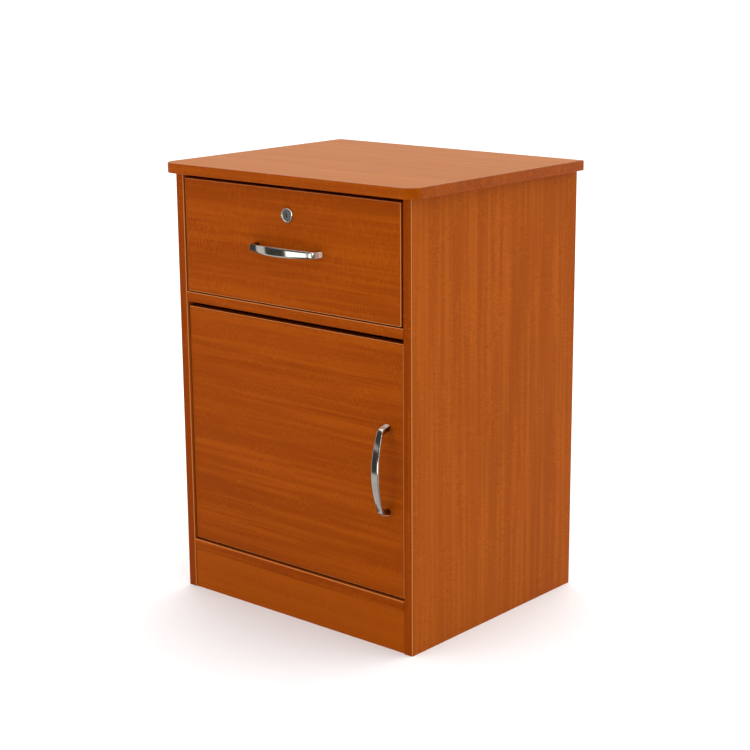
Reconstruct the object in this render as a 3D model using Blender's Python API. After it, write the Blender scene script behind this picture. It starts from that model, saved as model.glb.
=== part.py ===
"""Bedside cabinet: a boarded carcass with one lockable drawer above one hinged door.

Metres, +Z up, +Y to the back. X = 0 is the middle of the width, Z = 0 the floor, and Y = 0 lies
midway between the front of the bow handles and the back edges of the side panels.
"""

import math

import bmesh
import bpy
from mathutils import Matrix, Vector

# ---- Driving dimensions -------------------------------------------------------------------------
CARCASS_WIDTH = 0.480       # outside of one side panel to outside of the other
SIDE_DEPTH = 0.407          # side panel, front edge to back edge
TOP_UNDERSIDE = 0.686       # height of the underside of the top
BOARD = 0.016               # thickness of every laminated board
BACK_THICKNESS = 0.003      # hardboard back and drawer bottom
TOP_SIDE_OVERHANG = 0.015
TOP_FRONT_OVERHANG = 0.017
TOP_BACK_SETBACK = 0.004    # the top stops this far short of the side panels' back edges
TOP_CORNER_RADIUS = 0.025   # the two front corners of the top, seen from above
BAND = 0.002                # thickness of the edge bands
ARRIS = 0.0014              # rounding of the bands' outer edges

SEAT_GAP = 0.0003           # left between pieces that touch
RUNNING_GAP = 0.0004        # left between pieces that slide or turn on each other

BOTTOM_BOARD_TOP = 0.083    # height of the cupboard floor
DRAWER_SPACE = 0.1885       # divider's top face to the underside of the top
PLINTH_RECESS = 0.002
BACK_GROOVE_INSET = 0.012   # back edge of the side panel to the groove
BACK_GROOVE_DEPTH = 0.006

DRAWER_RECESS = 0.0         # front of the drawer behind the front edges of the side panels
DRAWER_SIDE_GAP = 0.004
DRAWER_TOP_GAP = 0.0075
DRAWER_BOTTOM_GAP = 0.002

DOOR_RECESS = 0.0035
DOOR_SIDE_GAP = 0.0025
DOOR_TOP_GAP = 0.0075
DOOR_BOTTOM_GAP = 0.003

BOX_LENGTH = 0.350          # drawer box, front to back
BOX_HEIGHT = 0.120
BOX_RAISE = 0.023           # drawer box above the bottom of the drawer front
BOX_SIDE = 0.012            # thickness of the drawer box's sides and back
BOX_FLOOR_RAISE = 0.010     # drawer bottom above the bottom of the box sides
BOX_GROOVE_DEPTH = 0.004
RUNNER_SPACE = 0.0125       # between the drawer box and the side panel, each side

STEEL = 0.0012              # sheet thickness of the runners
CHANNEL_HALF_HEIGHT = 0.009  # inside the cabinet runner's channel
CHANNEL_LIP = 0.0088        # how far the channel's flanges stand out of its web
RUNNER_SET_BACK = 0.002     # cabinet runner behind the drawer front
RUNNER_DROP = 0.0042        # channel's centre below the bottom of the drawer box
FRONT_ROLLER_RADIUS = 0.0108
ROLLER_END_DISTANCE = 0.012  # roller's centre to the end of its runner
AXLE_RADIUS = 0.002

HANDLE_REACH = 0.030        # face of the board to the front of the bow
HANDLE_RISE = 0.013         # how much lower the bow's ends are than its middle
HANDLE_MIDDLE_WIDTH = 0.0145
HANDLE_END_WIDTH = 0.0095
HANDLE_STRAP = 0.003        # thickness of the bow at its middle
HANDLE_FOOT = 0.0105        # length of a foot on the board
HANDLE_HOLES = 0.128        # screw to screw
HANDLE_END = 0.006          # screw to the handle's end
DRAWER_HANDLE_DROP = 0.098  # handle's middle below the underside of the top
DOOR_HANDLE_INSET = 0.031   # handle's middle from the door's free edge

LOCK_DROP = 0.046           # lock's axis below the underside of the top
LOCK_COLLAR_RADIUS = 0.0115
LOCK_COLLAR_STAND = 0.0024
LOCK_BARREL_RADIUS = 0.008
LOCK_PLUG_RADIUS = 0.0054
LOCK_CASE = (0.038, 0.012, 0.050)   # width, depth, height
LOCK_CASE_BELOW = 0.016     # case below the lock's axis
BOLT = (0.014, 0.0036, 0.0285)
BOLT_REST_GAP = 0.0055      # bolt's top below the underside of the top when drawn back
BOLT_THROW = 0.010
STRIKE = (0.040, 0.018)
STRIKE_SPARE = 0.0010       # around the bolt in the strike's slot
MORTISE_DEPTH = 0.008

HINGE_END_DISTANCE = 0.090  # hinge's middle from the door's top or bottom
HINGE_AXIS = (0.010, 0.002)  # the door turns about this line: right of its edge, behind its face
CUP_RADIUS = 0.0173
CUP_DEPTH = 0.0128
CUP_WALL = 0.0008
CUP_EDGE = 0.0052           # door's edge to the cup
CUP_PIN = (0.0095, 0.014)   # link's end in the cup, from the same door corner as HINGE_AXIS
DOOR_SWING = 95.0           # degrees, where the link meets its end in the cup again
PLATE_SETBACK = 0.037       # mounting screws behind the closed door's back face
PLATE_SCREW_SPACING = 0.032

# ---- Derived positions --------------------------------------------------------------------------
FRONT = -(SIDE_DEPTH - (HANDLE_REACH - DRAWER_RECESS)) / 2     # front edges of the side panels
BACK = FRONT + SIDE_DEPTH
HALF = CARCASS_WIDTH / 2
INNER = HALF - BOARD
BAND_SEAT = BAND + SEAT_GAP  # face of an edge band to the board behind it
TOP_HEIGHT = TOP_UNDERSIDE + BOARD
GROOVE_BACK = BACK - BACK_GROOVE_INSET
GROOVE_FRONT = GROOVE_BACK - BACK_THICKNESS - 2 * SEAT_GAP
RAIL_TOP = TOP_UNDERSIDE - DRAWER_SPACE
RAIL_UNDERSIDE = RAIL_TOP - BOARD
BOTTOM_UNDERSIDE = BOTTOM_BOARD_TOP - BOARD
HANDLE_LENGTH = HANDLE_HOLES + 2 * HANDLE_END
DRAWER_HANDLE_HEIGHT = TOP_UNDERSIDE - DRAWER_HANDLE_DROP
DOOR_HANDLE_HEIGHT = (BOTTOM_BOARD_TOP + DOOR_BOTTOM_GAP + RAIL_UNDERSIDE - DOOR_TOP_GAP) / 2
LOCK_HEIGHT = TOP_UNDERSIDE - LOCK_DROP

DRAWER_FACE = FRONT + DRAWER_RECESS
DRAWER_HALF = INNER - DRAWER_SIDE_GAP
DRAWER_BOTTOM = RAIL_TOP + DRAWER_BOTTOM_GAP
DRAWER_TOP = TOP_UNDERSIDE - DRAWER_TOP_GAP
BOX_FRONT = DRAWER_FACE + BOARD + SEAT_GAP
BOX_BACK = BOX_FRONT + BOX_LENGTH
BOX_HALF = INNER - RUNNER_SPACE
BOX_BOTTOM = DRAWER_BOTTOM + BOX_RAISE
BOX_TOP = BOX_BOTTOM + BOX_HEIGHT

CHANNEL_HEIGHT = BOX_BOTTOM - RUNNER_DROP
RUNNER_FRONT = DRAWER_FACE + BOARD + RUNNER_SET_BACK
RUNNER_BACK = RUNNER_FRONT + BOX_LENGTH
FRONT_AXLE = RUNNER_FRONT + ROLLER_END_DISTANCE
REAR_AXLE = BOX_BACK - ROLLER_END_DISTANCE
REAR_ROLLER_RADIUS = CHANNEL_HALF_HEIGHT - SEAT_GAP

DOOR_FACE = FRONT + DOOR_RECESS
DOOR_BACK = DOOR_FACE + BOARD
DOOR_LEFT = -INNER + DOOR_SIDE_GAP
DOOR_RIGHT = INNER - DOOR_SIDE_GAP
DOOR_BOTTOM = BOTTOM_BOARD_TOP + DOOR_BOTTOM_GAP
DOOR_TOP = RAIL_UNDERSIDE - DOOR_TOP_GAP
HINGE_HEIGHTS = {"upper": DOOR_TOP - HINGE_END_DISTANCE, "lower": DOOR_BOTTOM + HINGE_END_DISTANCE}
CUP_CENTRE = DOOR_LEFT + CUP_EDGE + CUP_RADIUS
PLATE_CENTRE = DOOR_BACK + PLATE_SETBACK


# ---- Materials ----------------------------------------------------------------------------------
def material(name, colour, roughness, metallic=0.0):
    """One Principled material; each piece gets its own copy, named after the piece."""
    made = bpy.data.materials.new(name)
    made.use_nodes = True
    shader = made.node_tree.nodes["Principled BSDF"]
    shader.inputs["Base Color"].default_value = (*colour, 1.0)
    shader.inputs["Roughness"].default_value = roughness
    shader.inputs["Metallic"].default_value = metallic
    return made


FINISHES = {
    "laminate": ((0.36, 0.075, 0.008), 0.45, 0.0),
    "band": ((0.31, 0.06, 0.006), 0.40, 0.0),
    "hardboard": ((0.30, 0.17, 0.08), 0.80, 0.0),
    "box_board": ((0.62, 0.50, 0.36), 0.55, 0.0),
    "chrome": ((0.75, 0.74, 0.72), 0.12, 1.0),
    "zinc": ((0.62, 0.62, 0.60), 0.35, 1.0),
    "white_steel": ((0.82, 0.82, 0.80), 0.40, 0.0),
    "nylon": ((0.85, 0.84, 0.80), 0.50, 0.0),
}


# ---- Object helpers -----------------------------------------------------------------------------
def empty(name, location):
    """An empty at a world position: the origin of a moving body."""
    made = bpy.data.objects.new(name, None)
    made.location = location
    bpy.context.scene.collection.objects.link(made)
    return made


def place(mesh, name, location, parent, finish):
    """Link a mesh as an object at a world position, under a parent that isn't turned."""
    made = bpy.data.objects.new(name, mesh)
    made.location = Vector(location) - (Vector(parent.location) if parent else Vector())
    made.parent = parent
    if finish:
        mesh.materials.append(material(f"{name}_{finish}", *FINISHES[finish]))
    bpy.context.scene.collection.objects.link(made)
    return made


def as_mesh(bm, name, smooth=False):
    """A mesh from a bmesh, with its faces pointing out; smooth pieces keep their sharp edges."""
    bmesh.ops.recalc_face_normals(bm, faces=bm.faces)
    mesh = bpy.data.meshes.new(name)
    bm.to_mesh(mesh)
    bm.free()
    if smooth:
        mesh.shade_smooth()
        mesh.set_sharp_from_angle(angle=math.radians(35))
    return mesh


def fillet(corners, radii, steps=5):
    """A closed outline with some of its corners, by index, replaced by arcs of a given radius."""
    outline = []
    count = len(corners)
    for i, corner in enumerate(corners):
        here = Vector(corner)
        if i not in radii:
            outline.append(tuple(here))
            continue
        before = (Vector(corners[i - 1]) - here).normalized()
        after = (Vector(corners[(i + 1) % count]) - here).normalized()
        half_angle = before.angle(after) / 2
        centre = here + (before + after).normalized() * radii[i] / math.sin(half_angle)
        start = here + before * radii[i] / math.tan(half_angle) - centre
        end = here + after * radii[i] / math.tan(half_angle) - centre
        turn = start.angle_signed(end)
        for k in range(steps + 1):
            arm = start.copy()
            arm.rotate(Matrix.Rotation(-turn * k / steps, 2))
            outline.append(tuple(centre + arm))
    return outline


def prism(outline, low, high):
    """A bmesh: a closed outline in X and Y, carried from one height to another."""
    bm = bmesh.new()
    face = bm.faces.new([bm.verts.new((x, y, low)) for x, y in outline])
    raised = bmesh.ops.extrude_face_region(bm, geom=[face])["geom"]
    lifted = [v for v in raised if isinstance(v, bmesh.types.BMVert)]
    bmesh.ops.translate(bm, verts=lifted, vec=(0, 0, high - low))
    return bm


def turned(profile, steps=32):
    """A bmesh turned about +Z from (radius, height) points; points on the axis close it."""
    bm = bmesh.new()
    points = [bm.verts.new((r, 0, h)) for r, h in profile]
    closed = all(r > 0 for r, h in profile)
    pairs = zip(points, points[1:] + points[:1]) if closed else zip(points, points[1:])
    edges = [bm.edges.new(pair) for pair in pairs]
    bmesh.ops.spin(bm, geom=points + edges, cent=(0, 0, 0), axis=(0, 0, 1),
                   angle=2 * math.pi, steps=steps, use_merge=True, use_duplicate=False)
    bmesh.ops.remove_doubles(bm, verts=bm.verts, dist=1e-7)
    return bm


def round_edges(made, chosen, width=ARRIS, segments=2):
    """A Bevel on the mesh edges whose two ends both satisfy a test in the piece's own frame."""
    mesh = made.data
    weights = mesh.attributes.new("bevel_weight_edge", "FLOAT", "EDGE")
    for edge in mesh.edges:
        a, b = (mesh.vertices[i].co for i in edge.vertices)
        weights.data[edge.index].value = 1.0 if chosen(a, b) else 0.0
    bevel = made.modifiers.new("arris", "BEVEL")
    bevel.limit_method = "WEIGHT"
    bevel.width = width
    bevel.segments = segments


def board(name, low, high, parent, finish="laminate", rounded=None):
    """A rectangular board between two world corners, with its origin at its middle.

    "front level" rounds the two level edges of its front; "both faces" rounds all the edges that
    bound its front and its back.
    """
    low, high = Vector(low), Vector(high)
    half = (high - low) / 2
    outline = [(-half.x, -half.y), (half.x, -half.y), (half.x, half.y), (-half.x, half.y)]
    made = place(as_mesh(prism(outline, -half.z, half.z), name), name, (low + high) / 2, parent, finish)
    if rounded == "front level":
        round_edges(made, lambda a, b: max(a.y, b.y) < 0 and a.z == b.z)
    elif rounded == "both faces":
        round_edges(made, lambda a, b: a.y == b.y)
    return made


def banded_board(name, low, high, parent):
    """A board with a band round all four edges, seen from the front: both pieces, board first."""
    inset = Vector((BAND_SEAT, 0, BAND_SEAT))
    panel = board(name, Vector(low) + inset, Vector(high) - inset, parent)
    band = board(f"{name}_edge_band", low, high, parent, "band", "both faces")
    through = Vector((BAND, -BOARD, BAND))
    boolean(band, box_tool(f"{name}_bed", Vector(low) + through, Vector(high) - through), "DIFFERENCE")
    return panel


def boolean(made, other, operation):
    """A Boolean modifier, with its other object hidden from the render."""
    other.hide_render = True
    other.display_type = "WIRE"
    modifier = made.modifiers.new(other.name, "BOOLEAN")
    modifier.operation = operation
    modifier.solver = "EXACT"
    modifier.object = other
    return made


def tool(bm, name, location, rotation=None):
    """A helper shape for a Boolean, at a world position, optionally turned before it is placed."""
    if rotation is not None:
        bmesh.ops.rotate(bm, verts=bm.verts, cent=(0, 0, 0), matrix=rotation)
    return place(as_mesh(bm, name), name, location, None, None)


def box_tool(name, low, high):
    """A rectangular helper between two world corners."""
    half = (Vector(high) - Vector(low)) / 2
    outline = [(-half.x, -half.y), (half.x, -half.y), (half.x, half.y), (-half.x, half.y)]
    return tool(prism(outline, -half.z, half.z), name, (Vector(low) + Vector(high)) / 2)


def rod_tool(name, radius, length, location, rotation=None, steps=24):
    """A round helper whose axis starts at a world position and runs along its turned +Z."""
    return tool(turned([(0, 0), (radius, 0), (radius, length), (0, length)], steps), name, location, rotation)


TO_BACK = Matrix.Rotation(-math.pi / 2, 3, "X")      # +Z becomes +Y
TO_FRONT = Matrix.Rotation(math.pi / 2, 3, "X")      # +Z becomes -Y
TO_RIGHT = Matrix.Rotation(math.pi / 2, 3, "Y")      # +Z becomes +X
TO_LEFT = Matrix.Rotation(-math.pi / 2, 3, "Y")      # +Z becomes -X


def screw(name, seat, rotation, parent, shank, length, head, head_height):
    """A pan-head screw: its head's underside lies at seat, and its shank runs along turned +Z."""
    dome = [(head * math.cos(a), -head_height * math.sin(a)) for a in (math.radians(d) for d in (75, 50, 25, 0))]
    profile = [(0, -head_height), *dome, (shank, 0), (shank, length - shank), (shank / 3, length), (0, length)]
    bm = turned(profile, 16)
    bmesh.ops.rotate(bm, verts=bm.verts, cent=(0, 0, 0), matrix=rotation)
    return place(as_mesh(bm, name, smooth=True), name, seat, parent, "zinc")


# ---- Carcass ------------------------------------------------------------------------------------
def side_panel(word, side):
    """A side panel standing on the floor, grooved on its inner face for the back, and its band."""
    outer, inner = side * HALF, side * INNER
    groove = side * (INNER + BACK_GROOVE_DEPTH)
    corners = [
        (outer, FRONT + BAND_SEAT), (inner, FRONT + BAND_SEAT), (inner, GROOVE_FRONT), (groove, GROOVE_FRONT),
        (groove, GROOVE_BACK), (inner, GROOVE_BACK), (inner, BACK), (outer, BACK),
    ]
    top = TOP_UNDERSIDE - SEAT_GAP
    bm = prism([(x - outer, y - FRONT) for x, y in corners], 0, top)
    name = f"{word}_side_panel"
    place(as_mesh(bm, name), name, (outer, FRONT, 0), None, "laminate")
    ends = [(outer, FRONT), (inner, FRONT), (inner, FRONT + BAND), (outer, FRONT + BAND)]
    outline = fillet(ends, {0: ARRIS, 1: ARRIS}, 3)
    bm = prism([(x - outer, y - FRONT) for x, y in outline], SEAT_GAP, top)
    name = f"{word}_edge_band"
    place(as_mesh(bm, name), name, (outer, FRONT, 0), None, "band")


def top_outline(inset):
    """The top seen from above, drawn in from its front and side edges, from its back left corner."""
    x = HALF + TOP_SIDE_OVERHANG - inset
    front, back = FRONT - TOP_FRONT_OVERHANG + inset, BACK - TOP_BACK_SETBACK
    radius = TOP_CORNER_RADIUS - inset
    return fillet([(-x, back), (-x, front), (x, front), (x, back)], {1: radius, 2: radius}, 8)


def top_panel():
    """The overhanging top, with a mortise for the lock's bolt, and the band around three edges."""
    bm = prism(top_outline(BAND_SEAT), 0, BOARD)
    made = place(as_mesh(bm, "top_panel"), "top_panel", (0, 0, TOP_UNDERSIDE), None, "laminate")
    pocket = bolt_pocket("top_mortise", TOP_UNDERSIDE - BOARD / 2, TOP_UNDERSIDE + MORTISE_DEPTH)
    boolean(made, pocket, "DIFFERENCE")
    outer, inner = top_outline(0), top_outline(BAND)
    band = prism(outer + list(reversed(inner)), 0, BOARD)
    name = "top_edge_band"
    made = place(as_mesh(band, name), name, (0, 0, TOP_UNDERSIDE), None, "band")
    face = {(round(x, 6), round(y, 6)) for x, y in outer}
    ends = {(round(x, 6), round(y, 6)) for x, y in (outer[0], outer[-1], inner[0], inner[-1])}

    def on_face(a, b):
        pair = {(round(v.x, 6), round(v.y, 6)) for v in (a, b)}
        return a.z == b.z and pair <= face and not pair <= ends
    round_edges(made, on_face)


def bolt_pocket(name, low, high):
    """A helper around the lock bolt's path, between two heights."""
    middle = bolt_middle()
    x = BOLT[0] / 2 + STRIKE_SPARE
    y = BOLT[1] / 2 + STRIKE_SPARE
    return box_tool(name, (-x, middle - y, low), (x, middle + y, high))


def bolt_middle():
    """The bolt's middle plane, front to back: the middle of the lock's case."""
    return BOX_FRONT + LOCK_CASE[1] / 2


def carcass():
    """Everything that stands still apart from the runners, hinges and lock strike."""
    inside = INNER - SEAT_GAP
    inner_back = GROOVE_FRONT - SEAT_GAP
    side_panel("left", -1)
    side_panel("right", 1)
    top_panel()
    for word, low, high in (("divider", RAIL_UNDERSIDE, RAIL_TOP), ("bottom", BOTTOM_UNDERSIDE, BOTTOM_BOARD_TOP)):
        board(f"{word}_panel", (-inside, FRONT + BAND_SEAT, low), (inside, inner_back, high), None)
        board(f"{word}_edge_band", (-inside, FRONT, low), (inside, FRONT + BAND, high), None, "band", "front level")
    plinth_top = BOTTOM_UNDERSIDE - SEAT_GAP
    plinth_front = FRONT + PLINTH_RECESS
    board("plinth_board", (-inside, plinth_front, 0), (inside, plinth_front + BOARD, plinth_top), None)
    board("rear_plinth_board", (-inside, inner_back - BOARD, 0), (inside, inner_back, plinth_top), None)
    tongue = INNER + BACK_GROOVE_DEPTH - SEAT_GAP
    board("back_panel", (-tongue, GROOVE_FRONT + SEAT_GAP, 0),
          (tongue, GROOVE_BACK - SEAT_GAP, TOP_UNDERSIDE - SEAT_GAP), None, "hardboard")


def lock_strike():
    """The steel plate under the top, with a slot that the bolt rises through."""
    middle = bolt_middle()
    low = (-STRIKE[0] / 2, middle - STRIKE[1] / 2, TOP_UNDERSIDE - SEAT_GAP - STEEL)
    high = (STRIKE[0] / 2, middle + STRIKE[1] / 2, TOP_UNDERSIDE - SEAT_GAP)
    made = board("lock_strike", low, high, None, "zinc")
    boolean(made, bolt_pocket("strike_slot", low[2] - BOARD, high[2] + BOARD), "DIFFERENCE")


# ---- Runners ------------------------------------------------------------------------------------
def cabinet_runner(name, side):
    """A channel on the side panel, open towards the drawer, with an axle at its front end."""
    wall = INNER - SEAT_GAP
    web = wall - STEEL
    tip = web - CHANNEL_LIP
    half = CHANNEL_HALF_HEIGHT
    outline = [(wall, -half - STEEL), (tip, -half - STEEL), (tip, -half), (web, -half),
               (web, half), (tip, half), (tip, half + STEEL), (wall, half + STEEL)]
    flange_front = FRONT_AXLE + FRONT_ROLLER_RADIUS + STEEL
    bm = prism([(side * x, z) for x, z in outline], 0, RUNNER_BACK - flange_front)
    bmesh.ops.rotate(bm, verts=bm.verts, cent=(0, 0, 0), matrix=TO_FRONT)
    bmesh.ops.translate(bm, verts=bm.verts, vec=(0, RUNNER_BACK - RUNNER_FRONT, 0))
    made = place(as_mesh(bm, name), name, (0, RUNNER_FRONT, CHANNEL_HEIGHT), None, "white_steel")
    plate = box_tool(f"{name}_nose", (min(side * wall, side * web), RUNNER_FRONT, CHANNEL_HEIGHT - half - STEEL),
                     (max(side * wall, side * web), flange_front + STEEL, CHANNEL_HEIGHT + half + STEEL))
    boolean(made, plate, "UNION")
    head_inner = BOX_HALF + 2 * SEAT_GAP + STEEL
    axle = axle_tool(f"{name}_axle", wall - STEEL / 2 - head_inner)
    axle.rotation_euler = (0, -side * math.pi / 2, 0)
    axle.location = (side * (wall - STEEL / 2), FRONT_AXLE, CHANNEL_HEIGHT)
    boolean(made, axle, "UNION")


def axle_tool(name, length):
    """A riveted axle along +Z: a plain shank that ends in a wider head."""
    head = 1.7 * AXLE_RADIUS
    head_height = AXLE_RADIUS / 4
    profile = [(0, 0), (AXLE_RADIUS, 0), (AXLE_RADIUS, length - head_height), (head, length - head_height),
               (head, length), (0, length)]
    return tool(turned(profile, 16), name, (0, 0, 0))


def drawer_runner(name, side, parent):
    """A stepped strip under the drawer side: a lip below it, a web, a flange, and a rear axle."""
    web_in = BOX_HALF + SEAT_GAP
    web_out = web_in + STEEL
    lip = BOX_HALF - BOX_SIDE
    flange = INNER - SEAT_GAP - STEEL - RUNNING_GAP
    under = BOX_BOTTOM - SEAT_GAP - STEEL
    ride = CHANNEL_HEIGHT + FRONT_ROLLER_RADIUS + SEAT_GAP
    outline = [(lip, under), (web_out, under), (web_out, ride), (flange, ride), (flange, ride + STEEL),
               (web_in, ride + STEEL), (web_in, under + STEEL), (lip, under + STEEL)]
    front = BOX_FRONT + SEAT_GAP
    bm = prism([(side * x, z - CHANNEL_HEIGHT) for x, z in outline], 0, BOX_BACK - front)
    bmesh.ops.rotate(bm, verts=bm.verts, cent=(0, 0, 0), matrix=TO_FRONT)
    bmesh.ops.translate(bm, verts=bm.verts, vec=(0, BOX_BACK - front, 0))
    made = place(as_mesh(bm, name), name, (0, front, CHANNEL_HEIGHT), parent, "white_steel")
    tab_half = 2 * AXLE_RADIUS
    tab = box_tool(f"{name}_tab",
                   (min(side * web_in, side * web_out), REAR_AXLE - tab_half, CHANNEL_HEIGHT - tab_half),
                   (max(side * web_in, side * web_out), REAR_AXLE + tab_half, ride))
    boolean(made, tab, "UNION")
    head_outer = INNER - SEAT_GAP - STEEL - RUNNING_GAP
    axle = axle_tool(f"{name}_axle", head_outer - web_in - STEEL / 2)
    axle.rotation_euler = (0, side * math.pi / 2, 0)
    axle.location = (side * (web_in + STEEL / 2), REAR_AXLE, CHANNEL_HEIGHT)
    boolean(made, axle, "UNION")


def roller(name, side, radius, inner, outer, along, parent):
    """A nylon roller with a bore and softened rims, its origin on its own axle."""
    bore = AXLE_RADIUS + SEAT_GAP
    half = (outer - inner) / 2
    rim = radius / 10
    profile = [(bore, -half), (radius - rim, -half), (radius, rim - half), (radius, half - rim),
               (radius - rim, half), (bore, half)]
    bm = turned(profile, 36)
    bmesh.ops.rotate(bm, verts=bm.verts, cent=(0, 0, 0), matrix=TO_RIGHT)
    mesh = as_mesh(bm, name, smooth=True)
    return place(mesh, name, (side * (inner + outer) / 2, along, CHANNEL_HEIGHT), parent, "nylon")


def runners(drawer):
    """Both pairs of runners, with a roller fixed to the cabinet and one fixed to the drawer."""
    head = AXLE_RADIUS / 4
    for word, side in (("left", -1), ("right", 1)):
        cabinet_runner(f"{word}_cabinet_runner", side)
        drawer_runner(f"{word}_drawer_runner", side, drawer)
        web = INNER - SEAT_GAP - STEEL
        drawer_web = BOX_HALF + SEAT_GAP + STEEL
        roller(f"{word}_cabinet_roller", side, FRONT_ROLLER_RADIUS,
               drawer_web + SEAT_GAP + head + RUNNING_GAP, web - RUNNING_GAP, FRONT_AXLE, None)
        roller(f"{word}_drawer_roller", side, REAR_ROLLER_RADIUS,
               drawer_web + 2 * RUNNING_GAP, web - head - 2 * RUNNING_GAP, REAR_AXLE, drawer)


# ---- Drawer -------------------------------------------------------------------------------------
def box_side(name, side, drawer):
    """A drawer side, grooved near its lower edge for the drawer bottom."""
    outer, inner = BOX_HALF, BOX_HALF - BOX_SIDE
    groove = inner + BOX_GROOVE_DEPTH
    low = BOX_FLOOR_RAISE
    high = low + BACK_THICKNESS + 2 * SEAT_GAP
    outline = [(outer, 0), (inner, 0), (inner, low), (groove, low), (groove, high), (inner, high),
               (inner, BOX_HEIGHT), (outer, BOX_HEIGHT)]
    bm = prism([(side * (x - outer), z) for x, z in outline], 0, BOX_LENGTH)
    bmesh.ops.rotate(bm, verts=bm.verts, cent=(0, 0, 0), matrix=TO_FRONT)
    bmesh.ops.translate(bm, verts=bm.verts, vec=(0, BOX_LENGTH, 0))
    place(as_mesh(bm, name), name, (side * outer, BOX_FRONT, BOX_BOTTOM), drawer, "box_board")


def drawer_body(drawer):
    """The drawer front and the box behind it."""
    front = banded_board("drawer_front", (-DRAWER_HALF, DRAWER_FACE, DRAWER_BOTTOM),
                         (DRAWER_HALF, DRAWER_FACE + BOARD, DRAWER_TOP), drawer)
    hole = rod_tool("lock_hole", LOCK_BARREL_RADIUS + SEAT_GAP, 3 * BOARD,
                    (0, DRAWER_FACE - BOARD, LOCK_HEIGHT), TO_BACK, 32)
    boolean(front, hole, "DIFFERENCE")
    for word, side in (("left", -1), ("right", 1)):
        box_side(f"drawer_{word}_side", side, drawer)
        drill(front, f"drawer_handle_{word}_hole", (side * HANDLE_HOLES / 2, DRAWER_FACE - BOARD, DRAWER_HANDLE_HEIGHT))
    inside = BOX_HALF - BOX_SIDE - SEAT_GAP
    floor = BOX_BOTTOM + BOX_FLOOR_RAISE + SEAT_GAP
    reach = BOX_HALF - BOX_SIDE + BOX_GROOVE_DEPTH - SEAT_GAP
    board("drawer_bottom", (-reach, BOX_FRONT, floor), (reach, BOX_BACK, floor + BACK_THICKNESS), drawer, "hardboard")
    board("drawer_back", (-inside, BOX_BACK - BOX_SIDE, floor + BACK_THICKNESS + SEAT_GAP),
          (inside, BOX_BACK, BOX_TOP), drawer, "box_board")


def drill(made, name, start):
    """A clearance hole for a handle screw, through a front board and towards the back."""
    boolean(made, rod_tool(name, SCREW_SHANK + SEAT_GAP, 3 * BOARD, start, TO_BACK, 16), "DIFFERENCE")


# ---- Handles ------------------------------------------------------------------------------------
SCREW_SHANK = 0.0019
SCREW_HEAD = 0.0040
SCREW_HEAD_HEIGHT = 0.0022
SCREW_IN_FOOT = 0.009       # how deep a handle screw goes into the foot


def bow(along):
    """How far the front of the bow stands off its seat at a distance from its middle."""
    half = HANDLE_HOLES / 2
    return HANDLE_REACH - SEAT_GAP - HANDLE_RISE * (along / half) ** 2


def handle_outline():
    """The bow's outline seen edge on: along the handle, and away from the board."""
    half = HANDLE_LENGTH / 2
    shoulder = HANDLE_HOLES / 2
    steps = 12
    outer = [(half, 0), (half - 0.0030, 0.0110), (half - 0.0040, 0.0145)]
    outer += [(shoulder - shoulder * 2 * k / steps, bow(shoulder * (1 - 2 * k / steps))) for k in range(steps + 1)]
    outer += [(-x, v) for x, v in reversed(outer[:3])]
    foot_inner = half - HANDLE_FOOT
    spring = foot_inner - 0.014             # where the inner line starts to bend down to the foot
    inner = [(foot_inner, 0)]
    for k in range(1, 6):
        share = math.cos(k * math.pi / 10)  # 1 at the foot, 0 where the strap starts
        along = spring + (foot_inner - spring) * share
        inner.append((along, (bow(along) - HANDLE_STRAP) * math.sqrt(1 - share ** 3)))
    inner += [(spring * (1 - k / 4), bow(spring * (1 - k / 4)) - HANDLE_STRAP) for k in range(1, 4)]
    inner += [(0, bow(0) - HANDLE_STRAP)]
    inner += [(-x, v) for x, v in reversed(inner[:-1])]
    return outer + list(reversed(inner))


def handle(name, centre, upright, parent):
    """A bow handle, wider at its middle than at its feet, with a blind screw hole in each foot."""
    half = HANDLE_LENGTH / 2
    bm = prism([(along, -away) for along, away in handle_outline()], -0.5, 0.5)
    for vertex in bm.verts:
        share = abs(vertex.co.x) / half
        vertex.co.z *= HANDLE_MIDDLE_WIDTH + (HANDLE_END_WIDTH - HANDLE_MIDDLE_WIDTH) * share ** 2
    if upright:
        bmesh.ops.rotate(bm, verts=bm.verts, cent=(0, 0, 0), matrix=Matrix.Rotation(math.pi / 2, 3, "Y"))
    made = place(as_mesh(bm, name, smooth=True), name, centre, parent, "chrome")
    bevel = made.modifiers.new("soft_edges", "BEVEL")
    bevel.limit_method = "ANGLE"
    bevel.angle_limit = math.radians(50)
    bevel.width = 0.0007
    bevel.segments = 1
    for end, where in handle_feet(upright):
        start = Vector(centre) + where + Vector((0, BOARD, 0))
        hole = rod_tool(f"{name}_{end}_thread", SCREW_SHANK + SEAT_GAP, BOARD + SCREW_IN_FOOT + SEAT_GAP,
                        start, TO_FRONT, 16)
        boolean(made, hole, "DIFFERENCE")
        seat = Vector(centre) + where + Vector((0, BOARD + 2 * SEAT_GAP, 0))
        screw(f"{name}_{end}_screw", seat, TO_FRONT, parent, SCREW_SHANK, BOARD + SCREW_IN_FOOT,
              SCREW_HEAD, SCREW_HEAD_HEIGHT)


def handle_feet(upright):
    """The two feet's names and their places from the handle's middle."""
    half = HANDLE_HOLES / 2
    if upright:
        return (("lower", Vector((0, 0, -half))), ("upper", Vector((0, 0, half))))
    return (("left", Vector((-half, 0, 0))), ("right", Vector((half, 0, 0))))


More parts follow.
